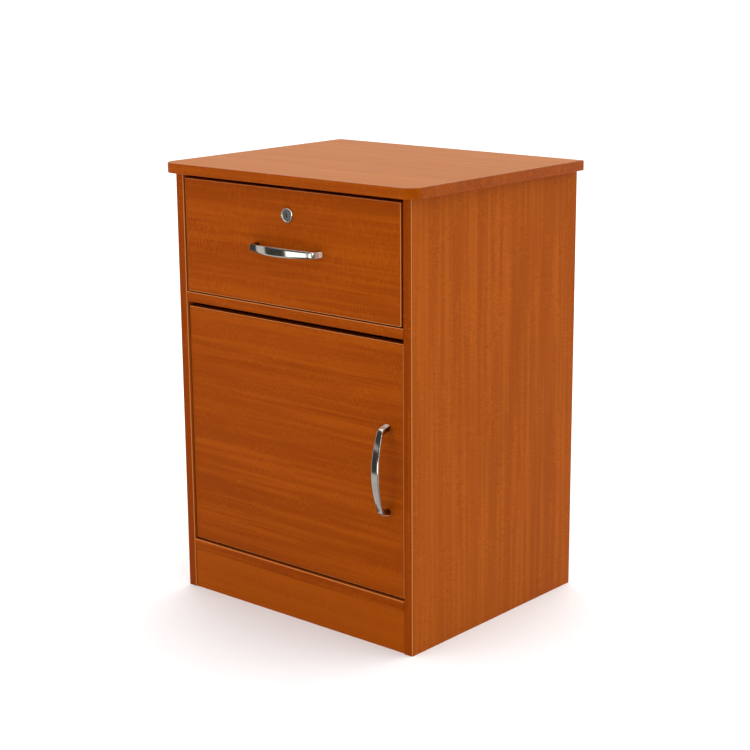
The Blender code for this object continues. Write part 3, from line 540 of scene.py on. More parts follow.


# These marks set how strongly a laminate's painted highlight lies on each arris.
def arris_marks(weights: Sequence[float], steps: int) -> Array:
    """Marks on quarter circles: each one's weight times the sine of twice the angle."""
    return np.concatenate([weight * np.sin(2 * np.linspace(0, math.pi / 2, steps + 1)) for weight in weights])


def board_rings(half_u: float, half_v: float, corner: float, section: Array) -> Array:
    """Rings round a board: its outline drawn in by each inset of its edge section, at its height.

    Args:
        half_u: Half the board's size along u.
        half_v: Half its size along v.
        corner: Radius of its four corners.
        section: Rows of inset and height.

    Returns:
        The rings, one for each row of the section.
    """
    return np.stack([
        raised(rounded_rectangle(half_u - inset, half_v - inset, [max(corner - inset, 0.0)] * 4), height)
        for inset, height in section
    ])


def slab(name: str, axes: Axes, half_u: float, half_v: float, thickness: float,
         corner: float = 0.0006, low: float = 0.0003, high: float = 0.0003,
         pockets: Sequence[tuple[float, float, float, float]] = ()) -> bpy.types.Object:
    """A rectangular board with softened corners and edges, centred on its axes' origin.

    A pocket is a circle in the high face carried down to a flat floor.

    Args:
        name: The piece's name.
        axes: Where it lies; the board rises from w = 0.
        half_u: Half its size along u.
        half_v: Half its size along v.
        thickness: Its size along w.
        corner: Radius of its four corners.
        low: Rounding of the low face's edge.
        high: Rounding of the high face's edge.
        pockets: Round pockets in the high face, as u, v, radius and depth. One as deep as the board
            goes through it.

    Returns:
        The board.
    """
    rings = board_rings(half_u, half_v, corner, rounded_edge(thickness, low, high))
    shell = Shell()
    numbers = shell.add_points(axes.to_frame(rings))
    shell.grid(numbers)
    high_loops, low_loops = [numbers[-1]], [numbers[0]]
    for u, v, radius, depth in pockets:
        rim = circle(radius) + (u, v)
        through = depth >= thickness
        floor = 0.0 if through else thickness - depth
        wall = np.stack([raised(rim, height) for height in (thickness, floor)])
        ring = shell.add_points(axes.to_frame(wall))
        shell.grid(ring)
        high_loops.append(ring[0])
        if through:
            low_loops.append(ring[1])
        else:
            shell.cap(ring[1])
    for loops in (high_loops, low_loops):
        if len(loops) > 1:
            shell.fill(loops)
        else:
            shell.cap(loops[0])
    return shell.build(name)


def framed(name: str, axes: Axes, half_u: float, half_v: float, width: float, thickness: float,
           arris: float, corner: float = 0.0009) -> bpy.types.Object:
    """A band round the four edges of a board: a closed frame with rounded outer arrises.

    Every point of the band's section gives one ring, the board's outline drawn in by its inset.

    Args:
        name: The piece's name.
        axes: Where it lies; the frame rises from w = 0.
        half_u: Half the frame's outer size along u.
        half_v: Half its outer size along v.
        width: How wide the band is.
        thickness: Its size along w.
        arris: Rounding of its outer edges.
        corner: Radius of its four outer corners.

    Returns:
        The frame.
    """
    outer = rounded_edge(thickness, arris, arris, FRAME_STEPS)
    inner = np.array([[width, thickness], [width, 0.0]])
    section = np.concatenate([outer, inner])
    shell = Shell()
    marks = np.concatenate([arris_marks((0.0, 1.0), FRAME_STEPS), [0.0, 0.0]])
    rings = board_rings(half_u, half_v, corner, section)
    numbers = shell.add_points(axes.to_frame(rings), marks[:, None])
    shell.grid(numbers, along=True)
    return shell.build(name)


def rod(name: str, axes: Axes, outline: Array, length: float, marks: Array,
        soften: float = 0.0002) -> bpy.types.Object:
    """An outline carried straight along w, its two ends drawn in slightly.

    Args:
        name: The piece's name.
        axes: Where it lies.
        outline: Its section, anticlockwise, as rows of u and v.
        length: How far it runs.
        marks: How far each point of the outline lies on an arris.
        soften: How far its ends are chamfered.

    Returns:
        The piece.
    """
    middle = outline.mean(axis=0)
    reach = np.abs(outline - middle).max()
    inner = middle + (outline - middle) * (1 - soften / reach)
    levels = [(inner, 0.0), (outline, soften), (outline, length - soften), (inner, length)]
    shell = Shell()
    rings = np.stack([raised(ring, height) for ring, height in levels])
    numbers = shell.add_points(axes.to_frame(rings), marks[None, :])
    shell.grid(numbers)
    shell.cap(numbers[0])
    shell.cap(numbers[-1])
    return shell.build(name)


def lathe(name: str, axes: Axes, profile: Array, steps: int = ROUND_STEPS) -> bpy.types.Object:
    """A ring: a closed profile turned about w.

    Args:
        name: The piece's name.
        axes: Where it lies; w is the axis.
        profile: Rows of radius and height. Its last point joins its first.
        steps: How many points go round.

    Returns:
        The piece.
    """
    shell = Shell()
    shell.grid(shell.add_points(axes.to_frame(turned(profile, steps))), along=True)
    return shell.build(name)


# ---- Dressing helpers ---------------------------------------------------------------------------
def dress(piece: bpy.types.Object, body: str, slot: str, material: bpy.types.Material,
          *replaced: str) -> bpy.types.Object:
    """Give a new piece its finish, its body and the CAD nodes that it stands for.

    Args:
        piece: The new piece.
        body: The body that it moves with.
        slot: The record's material slot; not used.
        material: Its finish.
        *replaced: The CAD nodes that it replaces.

    Returns:
        The piece.
    """
    piece.data.materials.clear()
    piece.data.materials.append(material)
    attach(piece, body)
    if replaced:
        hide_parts(*replaced)
    LOG.info("%s: %d faces on %s", piece.name, len(piece.data.polygons), body)
    return piece


def paint(node: str, material: bpy.types.Material) -> None:
    """Give a CAD node that stays a better finish.

    Args:
        node: The CAD node.
        material: Its finish.
    """
    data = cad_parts[node].data
    data.materials.clear()
    data.materials.append(material)
    LOG.info("%s: painted", node)


@dataclass(frozen=True)
class Block:
    """A node's box at rest, with its middle and its half sizes."""

    low: Array
    high: Array

    @classmethod
    def of(cls, node: str) -> "Block":
        """The box of a CAD node."""
        low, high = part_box(node)
        return cls(np.array(low), np.array(high))

    @property
    def middle(self) -> Array:
        """Its middle."""
        return (self.low + self.high) / 2

    @property
    def half(self) -> Array:
        """Half its size on each axis."""
        return (self.high - self.low) / 2

    def grown(self, low: Triple = (0, 0, 0), high: Triple = (0, 0, 0)) -> "Block":
        """The box with its low corner moved back and its high corner moved on."""
        return Block(self.low - np.array(low), self.high + np.array(high))

    def facing_front(self) -> tuple[Axes, float, float, float]:
        """Axes from the back face to the front face, with half width, half height and depth."""
        x, _, z = self.middle
        return Axes((x, self.high[1], z), (1, 0, 0), (0, 0, 1)), self.half[0], self.half[2], 2 * self.half[1]

    def facing_back(self) -> tuple[Axes, float, float, float]:
        """Axes from the front face to the back face, with half width, half height and depth."""
        x, _, z = self.middle
        return Axes((x, self.low[1], z), (-1, 0, 0), (0, 0, 1)), self.half[0], self.half[2], 2 * self.half[1]

    def facing_up(self) -> tuple[Axes, float, float, float]:
        """Axes from the underside to the top face, with half width, half depth and height."""
        x, y, _ = self.middle
        return Axes((x, y, self.low[2]), (1, 0, 0), (0, 1, 0)), self.half[0], self.half[1], 2 * self.half[2]

    def facing_right(self) -> tuple[Axes, float, float, float]:
        """Axes from the left face to the right face, with half depth, half height and width."""
        _, y, z = self.middle
        return Axes((self.low[0], y, z), (0, 1, 0), (0, 0, 1)), self.half[1], self.half[2], 2 * self.half[0]


# ---- Carcass ------------------------------------------------------------------------------------
@dataclass
class Carcass:
    """The boards that stand still, their edge bands and the hardboard back."""

    arris: float = ARRIS
    band: float = BAND
    square: float = 0.0001          # rounding of a band's hidden corners
    top_corner: float = 0.025
    top_corner_points: int = 15
    top_reach: float = 0.2          # about how far the top's edge lies from its middle
    top_edge: float = 0.0002
    board_end: float = 0.0004
    bolt_spare: float = 0.0010
    mortise_depth: float = 0.008

    def build(self) -> None:
        """Build and dress every piece of the carcass."""
        self.sides()
        self.top()
        self.shelves()
        self.plinths()
        self.back()

    def sides(self) -> None:
        """Both side panels, grain upright, with the bands on their front edges."""
        for number, word in enumerate(("left", "right")):
            node = f"{word}_side_panel"
            block = Block.of(node).grown(low=(0, SEAT - HAIRLINE, 0), high=(0, 0, SEAT))
            # painted light: both sides take a lighter copy of the fronts' laminate, because the right side is
            # the lit one
            finish = Laminate(f"{word}_side_laminate", Grain.UPRIGHT, (0.31 * number, 0.17 * number, 0.4),
                              light=(0.400, 0.088, 0.0050), dark=(0.275, 0.050, 0.0008))
            panel = slab(f"{word}_side_board", *block.facing_right(), low=self.board_end, high=self.board_end)
            dress(panel, "carcass", "laminate", finish.material(), node)
            edge = Block.of(f"{word}_edge_band")
            radii = (self.arris, self.arris, self.square, self.square)
            outline = rounded_rectangle(edge.half[0], edge.half[1], radii, BAND_STEPS)
            x, y, _ = edge.middle
            axes = Axes((x, y, edge.low[2]), (1, 0, 0), (0, 1, 0))
            marks = arris_marks((0.0, 1.0, 0.0, 0.0), BAND_STEPS)
            lipping = rod(f"{word}_edge_lipping", axes, outline, 2 * edge.half[2], marks)
            finish = Laminate(f"{word}_lipping_laminate", Grain.UPRIGHT, (0.9, 0.2 * number, 0.1),
                              lift=-0.28, roughness=0.34)
            dress(lipping, "carcass", "edge_band", finish.material(), f"{word}_edge_band")

    def top_ring(self, inset: float) -> Array:
        """The top's outline drawn in from its front and sides, from back right round to back left.

        The two front corners are quarter circles about fixed centres, so their radius shrinks by
        the inset.

        Args:
            inset: How far it is drawn in.

        Returns:
            Rows of X and Y, clockwise seen from above.
        """
        block = Block.of("top_edge_band")
        x, front, back = block.high[0], block.low[1], block.high[1]
        r = self.top_corner
        turn = np.linspace(0, math.pi / 2, self.top_corner_points)
        reach = r - inset
        right = np.stack([x - r + reach * np.cos(turn), front + r - reach * np.sin(turn)], axis=-1)
        left = right[::-1] * (-1, 1)
        return np.concatenate([[(x - inset, back)], right, left, [(-x + inset, back)]])

    def top(self) -> None:
        """The top board, grain across, and its band round the front and sides.

        The board's rings are its outline shrunk about its middle, a scale that draws its edge in
        by about the edge section's inset.
        """
        block = Block.of("top_panel")
        height = 2 * block.half[2]
        shell = Shell()
        ring = self.top_ring(self.band + HAIRLINE)
        levels = rounded_edge(height, self.top_edge, self.top_edge, 2)
        rings = np.stack([raised(ring * (1 - inset / self.top_reach), block.low[2] + z)
                          for inset, z in levels])
        numbers = shell.add_points(rings)
        shell.grid(numbers)
        self.mortise(shell, numbers[0], block.low[2])
        shell.cap(numbers[-1])
        # painted light: the top takes a much lighter copy of the laminate, for the light that falls on it
        # from above
        finish = Laminate("top_laminate", Grain.ACROSS, (0.2, 0.6, 0.0), roughness=0.46, specular=0.08,
                          light=(0.445, 0.136, 0.014), dark=(0.360, 0.097, 0.006), sheen=(1.0, 0.66, 0.36))
        dress(shell.build("top_board"), "carcass", "laminate", finish.material(), "top_panel")

        section = np.concatenate([rounded_edge(height, self.arris, self.arris, BAND_STEPS),
                                  [[self.band, height], [self.band, 0.0]]])
        rings = np.stack([raised(self.top_ring(inset), block.low[2] + z) for inset, z in section], axis=1)
        shell = Shell()
        numbers = shell.add_points(rings)
        shell.grid(numbers)
        shell.cap(numbers[0])
        shell.cap(numbers[-1])
        # painted light: the top's band is lifted lighter than the other bands, for how its edge is lit
        finish = Laminate("top_lipping_laminate", Grain.ACROSS, (0.5, 0.1, 0.3), lift=0.08, contrast=0.7,
                          roughness=0.26, specular=0.16)
        dress(shell.build("top_lipping"), "carcass", "edge_band", finish.material(), "top_edge_band")

    def mortise(self, shell: Shell, underside: Array, height: float) -> None:
        """Fill the top's underside round the pocket that the lock's bolt rises into.

        Args:
            shell: The top board while it is put together.
            underside: The loop of its lowest ring.
            height: How high that ring is.
        """
        bolt = Block.of("lock_bolt")
        half = bolt.half[:2] + self.bolt_spare
        outline = rounded_rectangle(half[0], half[1], [self.bolt_spare] * 4) + bolt.middle[:2]
        wall = np.stack([raised(outline, z) for z in (height, height + self.mortise_depth)])
        ring = shell.add_points(wall)
        shell.grid(ring)
        shell.cap(ring[1])
        shell.fill([underside, ring[0]])

    def shelves(self) -> None:
        """The divider and the cupboard floor, each with a lipped front edge."""
        for number, word in enumerate(("divider", "bottom")):
            block = Block.of(f"{word}_panel").grown(low=(0, SEAT - HAIRLINE, 0))
            finish = Laminate(f"{word}_laminate", Grain.ACROSS, (0.7, 0.3, 0.2 + number), lift=-0.05)
            board = slab(f"{word}_board", *block.facing_up(), low=self.board_end, high=self.board_end)
            dress(board, "carcass", "laminate", finish.material(), f"{word}_panel")
            edge = Block.of(f"{word}_edge_band").grown(low=(SEAT / 2, 0, 0), high=(SEAT / 2, 0, 0))
            _, y, z = edge.middle
            radii = (self.arris, self.square, self.square, self.arris)
            outline = rounded_rectangle(edge.half[1], edge.half[2], radii, BAND_STEPS)
            axes = Axes((edge.low[0], y, z), (0, 1, 0), (0, 0, 1))
            marks = arris_marks((0.0, 0.0, 0.0, 1.0), BAND_STEPS)
            lipping = rod(f"{word}_lipping", axes, outline, 2 * edge.half[0], marks, soften=0.0001)
            finish = Laminate(f"{word}_lipping_laminate", Grain.ACROSS, (0.1, 0.4, 0.6 + number), lift=-0.10,
                              roughness=0.34)
            dress(lipping, "carcass", "edge_band", finish.material(), f"{word}_edge_band")

    def plinths(self) -> None:
        """The two boards that stand on the floor between the sides."""
        for number, node in enumerate(("plinth_board", "rear_plinth_board")):
            # painted light: the plinths are lifted much lighter, to make up for the shade near the floor
            finish = Laminate(f"{node}_laminate", Grain.ACROSS, (0.15, 0.5 * number, 0.8), lift=0.34)
            block = Block.of(node).grown((SEAT / 2, 0, 0), (SEAT / 2, 0, 0))
            board = slab(f"{node}_face", *block.facing_front(), low=self.board_end, high=self.board_end)
            dress(board, "carcass", "laminate", finish.material(), node)

    def back(self) -> None:
        """The hardboard back."""
        finish = Coating("hardboard_skin", (0.25, 0.118, 0.046), (0.225, 0.103, 0.040), 0.72,
                         texture=(700.0, 700.0, 700.0), depth=0.00006, specular=0.25)
        board = slab("back_hardboard", *Block.of("back_panel").facing_back(), low=0.0001, high=0.0001)
        dress(board, "carcass", "hardboard", finish.material(), "back_panel")


# ---- Bow handles --------------------------------------------------------------------------------
@dataclass
class BowHandle:
    """A chromed bow: a squared-off strap that widens to its middle and ends in two feet."""

    node: str
    body: str
    upright: bool
    length: float = 0.140
    holes: float = 0.128
    reach: float = 0.0297
    rise: float = 0.013
    strap: float = 0.0029
    foot: float = 0.0104
    middle_width: float = 0.0144
    end_width: float = 0.0094
    bend: float = 0.014
    shoulder: float = 0.0085
    shoulder_drop: float = 1.5      # the shoulder's height over its length
    lean: float = 0.0012            # how far a foot's end face draws in as it rises
    taper: float = 1.6              # power of the change in width
    squareness: float = 3.6
    section_points: int = 32

    def bow(self, along: Array) -> Array:
        """How far the strap's front stands off its seat: a parabola, highest at the middle."""
        return self.reach - self.rise * (along / (self.holes / 2)) ** 2

    def lines(self, steps: int = 40) -> tuple[Array, Array]:
        """The strap's outer and inner lines from the seat of one foot to the seat of the other.

        The outer line rises along the foot's end face, rounds its shoulder on a quarter ellipse
        and follows the bow. The inner line leaves the seat one foot inside, and its height is the
        bow less the strap, times the root of one less the cube of its share of the bend.

        Args:
            steps: How many points half of each line has.

        Returns:
            Rows of distance along and away, for the outer and the inner line.
        """
        half = self.length / 2
        start = half - self.shoulder
        top = float(self.bow(np.array(start)))
        low = top - self.shoulder * self.shoulder_drop
        rise = np.linspace(0, low, steps // 4, endpoint=False)
        face = np.stack([half - self.lean * (rise / low) ** 2, rise], axis=-1)
        turn = np.linspace(0, math.pi / 2, steps // 4, endpoint=False)
        width = face[-1, 0] - start
        arc = np.stack([start + width * np.cos(turn), low + (top - low) * np.sin(turn)], axis=-1)
        run = np.linspace(start, 0, steps - len(face) - len(arc))
        outer = np.concatenate([face, arc, np.stack([run, self.bow(run)], axis=-1)])
        spring = half - self.foot - self.bend
        share = np.cos(np.linspace(0, math.pi / 2, steps // 2, endpoint=False))
        along = spring + self.bend * share
        away = (self.bow(along) - self.strap) * np.sqrt(np.maximum(1 - share ** 3, 0))
        fillet = np.stack([along, away], axis=-1)
        run = np.linspace(spring, 0, steps - len(fillet))
        inner = np.concatenate([fillet, np.stack([run, self.bow(run) - self.strap], axis=-1)])
        return (np.concatenate([outer, outer[-2::-1] * (-1, 1)]),
                np.concatenate([inner, inner[-2::-1] * (-1, 1)]))

    def build(self, finish: bpy.types.Material) -> None:
        """Build and dress the handle.

        The section between an outer and an inner point is a superellipse of a power between a
        circle's and a square's. Marks near the seat are below 0 on the outward faces of the feet
        and above 0 elsewhere.

        Args:
            finish: The chrome.
        """
        block = Block.of(self.node)
        outer, inner = self.lines()
        along = (outer[:, 0] + inner[:, 0]) / 2
        taper = (np.abs(along) / (self.length / 2)) ** self.taper
        width = self.middle_width + (self.end_width - self.middle_width) * taper
        c, s = circle(1.0, self.section_points).T
        power = 2 / self.squareness
        across = np.sign(s) * np.abs(s) ** power
        through = np.sign(c) * np.abs(c) ** power
        middle, half = (outer + inner) / 2, (outer - inner) / 2
        flat = middle[:, None, :] + half[:, None, :] * through[None, :, None]
        side = width[:, None] / 2 * across[None, :]
        points = np.concatenate([flat, side[..., None]], axis=-1)[..., [0, 2, 1]]
        seat = block.high[1]
        centre = block.middle
        if self.upright:
            axes = Axes((centre[0], seat, centre[2]), (0, 0, 1), (1, 0, 0))
        else:
            axes = Axes((centre[0], seat, centre[2]), (1, 0, 0), (0, 0, 1))
        w = np.cross(axes.u, axes.v)
        points[..., 2] *= -1 if w[1] > 0 else 1
        shell = Shell()
        # Marks above 0 paint shade on the feet near the seat; marks below 0 make the feet's outward faces
        # rougher and less metallic.
        seated = np.clip(1 - middle[:, 1] / (0.6 * self.reach), 0, 1)[:, None]
        marks = np.clip(seated * 1.8, 0, 0.92) * np.where(through > 0.72, -1.0, 1.0)[None, :]
        numbers = shell.add_points(axes.to_frame(points), marks)
        shell.grid(numbers)
        shell.cap(numbers[0])
        shell.cap(numbers[-1])
        dress(shell.build(f"{self.node}_bow", 40), self.body, "chrome", finish, self.node)


# ---- Drawer and door fronts ---------------------------------------------------------------------
@dataclass
class Front:
    """A banded front board, with pockets in its back for cups and holes for screws and a lock."""

    node: str
    body: str
    offset: Triple
    screws: tuple[str, ...]
    cups: bool = False
    lock: bool = False
    band: float = BAND
    arris: float = ARRIS
    cup_radius: float = 0.0173
    sharp: float = 0.0001           # rounding of the board's corners and edges

    def build(self) -> None:
        """Build and dress the board and its band."""
        edge = Block.of(f"{self.node}_edge_band")
        axes, half_u, half_v, depth = edge.facing_front()
        lipping = framed(f"{self.node}_lipping", axes, half_u, half_v, self.band, depth, self.arris)
        finish = Laminate(f"{self.node}_lipping_laminate", Grain.ACROSS, self.offset, lift=-0.08,
                          contrast=0.35, roughness=0.34)
        dress(lipping, self.body, "edge_band", finish.material(), f"{self.node}_edge_band")
        grow = SEAT - HAIRLINE
        block = Block.of(self.node).grown((grow, 0, grow), (grow, 0, grow))
        axes, half_u, half_v, depth = block.facing_back()
        pockets = []
        if self.cups:
            for word in ("lower", "upper"):
                cup = Block.of(f"{word}_hinge_cup")
                u = -(cup.low[0] + self.cup_radius - block.middle[0])
                v = cup.middle[2] - block.middle[2]
                pockets.append((u, v, self.cup_radius + SEAT, block.high[1] - cup.low[1] + SEAT))
        for node in self.screws:
            screw = Block.of(node)
            radius = PanScrew.SHANK * screw.half[0] + SEAT
            u, v = block.middle[0] - screw.middle[0], screw.middle[2] - block.middle[2]
            pockets.append((u, v, radius, depth))
        if self.lock:
            collar = Block.of("lock_collar").middle
            u, v = block.middle[0] - collar[0], collar[2] - block.middle[2]
            pockets.append((u, v, Lock().barrel + SEAT, depth))
        board = slab(f"{self.node}_board", axes, half_u, half_v, depth, *[self.sharp] * 3, pockets)
        finish = Laminate(f"{self.node}_laminate", Grain.ACROSS, self.offset)
        dress(board, self.body, "laminate", finish.material(), self.node)


# ---- Drawer box and lock ------------------------------------------------------------------------
@dataclass
class DrawerBox:
    """The pale box behind the drawer front."""

    edge: float = 0.0012
    floor_edge: float = 0.0001
    skin: Coating = Coating("melamine_skin", (0.66, 0.56, 0.42), (0.58, 0.47, 0.33), 0.5,
                            texture=(30.0, 30.0, 900.0), depth=0.00001)
    floor: Coating = Coating("drawer_floor_skin", (0.60, 0.50, 0.37), (0.52, 0.42, 0.30), 0.6,
                             texture=(500.0, 500.0, 500.0), depth=0.00003)

    def build(self) -> None:
        """Build and dress the box."""
        material = self.skin.material()
        for node in ("drawer_left_side", "drawer_right_side"):
            board = slab(f"{node}_board", *Block.of(node).facing_right(), low=self.edge, high=self.edge)
            dress(board, "drawer", "drawer_box", material, node)
        block = Block.of("drawer_back")
        board = slab("drawer_back_board", *block.facing_back(), low=self.edge, high=self.edge)
        dress(board, "drawer", "drawer_box", material, "drawer_back")
        block = Block.of("drawer_bottom")
        board = slab("drawer_floor_board", *block.facing_up(), low=self.floor_edge, high=self.floor_edge)
        dress(board, "drawer", "hardboard", self.floor.material(), "drawer_bottom")


@dataclass
class Lock:
    """The drawer's lock: collar, case, turning plug with its keyway, rising bolt and strike."""

    collar_radius: float = 0.0115
    collar_stand: float = 0.0024
    barrel: float = 0.008
    lip: float = 0.0006             # from the crown's inner edge to the barrel
    keyway: Triple = (0.0015, 0.0067, 0.0030)
    soften: float = 0.0003
    collar_points: int = 64

    def build(self, chrome: bpy.types.Material, zinc: bpy.types.Material) -> None:
        """Build and dress the lock.

        The collar's crown rises and falls as a power of a sine across its width.

        Args:
            chrome: For what shows at the front.
            zinc: For what is behind it.
        """
        collar = Block.of("lock_collar")
        centre = collar.middle
        axes = Axes((centre[0], collar.high[1], centre[2]), (1, 0, 0), (0, 0, 1))
        t = np.linspace(0, 1, 15)
        swell = np.sin(math.pi * (0.12 + 0.76 * t)) ** 0.8
        crown = np.stack([self.collar_radius - (self.collar_radius - self.barrel - self.lip) * t,
                          self.collar_stand * (0.25 + 0.75 * swell)], axis=-1)
        rim = [[self.collar_radius, 0.0]]
        bore = [[self.barrel + SEAT, self.collar_stand * 0.55], [self.barrel + SEAT, 0.0]]
        ring = lathe("lock_collar_ring", axes, np.concatenate([rim, crown, bore]), self.collar_points)
        dress(ring, "drawer", "chrome", chrome, "lock_collar")
        paint("lock_body", zinc)
        self.turning_plug(zinc)
        paint("lock_bolt", zinc)
        paint("lock_strike", zinc)

    def turning_plug(self, plate: bpy.types.Material) -> None:
        """The plug: a disc with a softened rim, and a keyway sunk into its face.

        The rim is a quarter circle, and the keyway is a rounded rectangle carried straight in.

        Args:
            plate: Its finish.
        """
        block = Block.of("lock_plug")
        axes, radius, _, depth = block.facing_front()
        edge = rounded_edge(depth, self.soften, self.soften, 3)
        shell = Shell()
        numbers = shell.add_points(axes.to_frame(turned(edge * (-1, 1) + (radius, 0.0))))
        shell.grid(numbers)
        shell.cap(numbers[0])
        width, height, sunk = self.keyway
        slot = rounded_rectangle(width / 2, height / 2, [self.soften] * 4)
        levels = (depth, depth - self.soften, depth - sunk)
        wall = np.stack([raised(slot, level) for level in levels])
        # The keyway's walls below its lip and its floor are marked 1: painted shade in the recess.
        ring = shell.add_points(axes.to_frame(wall), np.array([[0.0], [1.0], [1.0]]))
        shell.grid(ring)
        shell.cap(ring[-1])
        shell.fill([numbers[-1], ring[0]])
        dress(shell.build("lock_plug_disc"), "lock_plug", "chrome", plate, "lock_plug")


# ---- Screws -------------------------------------------------------------------------------------
@dataclass(frozen=True)
class PanScrew:
    """A pan-head screw with a cross recess, standing for a plain CAD screw."""

    node: str
    body: str
    outward: Triple
    SHANK: ClassVar[float] = 0.45       # these are shares of the head's radius
    RISE: ClassVar[float] = 0.55
    BAR: ClassVar[float] = 0.13
    TIP: ClassVar[float] = 0.10
    HIGHEST: ClassVar[float] = 0.0022
    RECESS: ClassVar[float] = 0.62      # share of the radius that the recess reaches
    DIP: ClassVar[float] = 0.55         # share of the head's height that it sinks
    STRAIGHT: ClassVar[float] = 0.9     # share of the screw before its point

    def build(self, finish: bpy.types.Material) -> None:
        """Build and dress the screw.

        The head is a dome: its height is the root of the cosine of its share of the radius, less
        a dip of one depth along two crossing bars.

        Args:
            finish: Its plate.
        """
        block = Block.of(self.node)
        direction = np.array(self.outward)
        axis = int(np.abs(direction).argmax())
        others = [k for k in range(3) if k != axis]
        head = block.half[others[0]]
        tip = block.high[axis] if direction[axis] > 0 else block.low[axis]
        length = 2 * block.half[axis]
        height = min(self.RISE * head, self.HIGHEST)
        origin = block.middle.copy()
        origin[axis] = tip - direction[axis] * height
        u = np.zeros(3)
        u[others[0]] = 1.0
        v = np.cross(direction, u)
        axes = Axes(tuple(origin), tuple(u), tuple(v))
        share = np.linspace(0.04, 1, 15)
        x, y = (share[:, None] * head * part for part in circle(1.0).T)
        dome = height * np.cos(share[:, None] * math.pi / 2 * 0.93) ** 0.5 * np.ones(ROUND_STEPS)
        bar = np.minimum(np.abs(x), np.abs(y)) < self.BAR * head
        inside = share[:, None] < self.RECESS
        z = np.where(bar & inside, dome - self.DIP * height, dome)
        shell = Shell()
        numbers = shell.add_points(axes.to_frame(np.stack([x, y, z], axis=-1)))
        shell.grid(numbers)
        shell.cap(numbers[0])
        radius = self.SHANK * head
        shank = np.array([[head, 0.0], [radius, 0.0], [radius, height - length * self.STRAIGHT],
                          [self.TIP * head, height - length]])
        rings = shell.add_points(axes.to_frame(turned(shank)))
        shell.grid(np.concatenate([numbers[-1:], rings]))
        shell.cap(rings[-1])
        dress(shell.build(f"{self.node}_head", 30), self.body, "zinc_steel", finish, self.node)


# ---- Rollers ------------------------------------------------------------------------------------
@dataclass(frozen=True)
class Roller:
    """A moulded nylon roller, turned about X, with a sunk web and a bored hub."""

    node: str
    bore: float = 0.0024
    hub: float = 0.0044
    rim: float = 0.0016
    sunk: float = 0.0009
    soften: float = 0.0005

    def build(self, finish: bpy.types.Material) -> None:
        """Build and dress the roller.

        Its profile runs round the hub, the sunk web and the rounded rim of one side and back along
        the other, which is the same profile mirrored.

        Args:
            finish: Its nylon.
        """
        block = Block.of(self.node)
        radius, half = block.half[2], block.half[0]
        inner = radius - self.rim
        turn = np.linspace(0, math.pi / 2, 6)
        rim = np.stack([radius - self.soften * (1 - np.sin(turn)),
                        half - self.soften * (1 - np.cos(turn))], axis=-1)
        side = np.concatenate([[(self.bore, half), (self.hub, half), (self.hub, half - self.sunk),
                                (inner, half - self.sunk), (inner, half)], rim])
        profile = np.concatenate([side, side[::-1] * (1, -1)])
        axes = Axes(tuple(block.middle), (0, 1, 0), (0, 0, 1))
        dress(lathe(f"{self.node}_wheel", axes, profile), self.node, "nylon", finish, self.node)


# ---- Runners and hinges -------------------------------------------------------------------------
@dataclass
class Hardware:
    """Runners, rollers and concealed hinges, which show when the drawer and the door are open."""

    powder: Coating = Coating("runner_powder_coat", (0.80, 0.80, 0.77), (0.72, 0.71, 0.67), 0.38,
                              texture=(1400.0, 1400.0, 1400.0), depth=0.00003)
    nylon: Coating = Coating("roller_nylon", (0.82, 0.80, 0.74), (0.74, 0.71, 0.63), 0.42,
                             texture=(800.0, 800.0, 800.0), depth=0.00001)

    def build(self, zinc: bpy.types.Material) -> None:
        """Dress the hidden hardware and the handles' screws.

        Args:
            zinc: The plate of the hinges and the screws.
        """
        powder = self.powder.material()
        nylon = self.nylon.material()
        for word in ("left", "right"):
            paint(f"{word}_cabinet_runner", powder)
            paint(f"{word}_drawer_runner", powder)
            for end in ("cabinet", "drawer"):
                Roller(f"{word}_{end}_roller").build(nylon)
        for word in ("upper", "lower"):
            for part in ("hinge_cup", "hinge_arm", "hinge_link", "mounting_plate"):
                paint(f"{word}_{part}", zinc)
            for end in ("lower", "upper"):
                PanScrew(f"{word}_cup_{end}_screw", "door", (0, 1, 0)).build(zinc)
                PanScrew(f"{word}_plate_{end}_screw", "carcass", (1, 0, 0)).build(zinc)
        for end in ("left", "right"):
            PanScrew(f"drawer_handle_{end}_screw", "drawer", (0, 1, 0)).build(zinc)
        for end in ("lower", "upper"):
            PanScrew(f"door_handle_{end}_screw", "door", (0, 1, 0)).build(zinc)


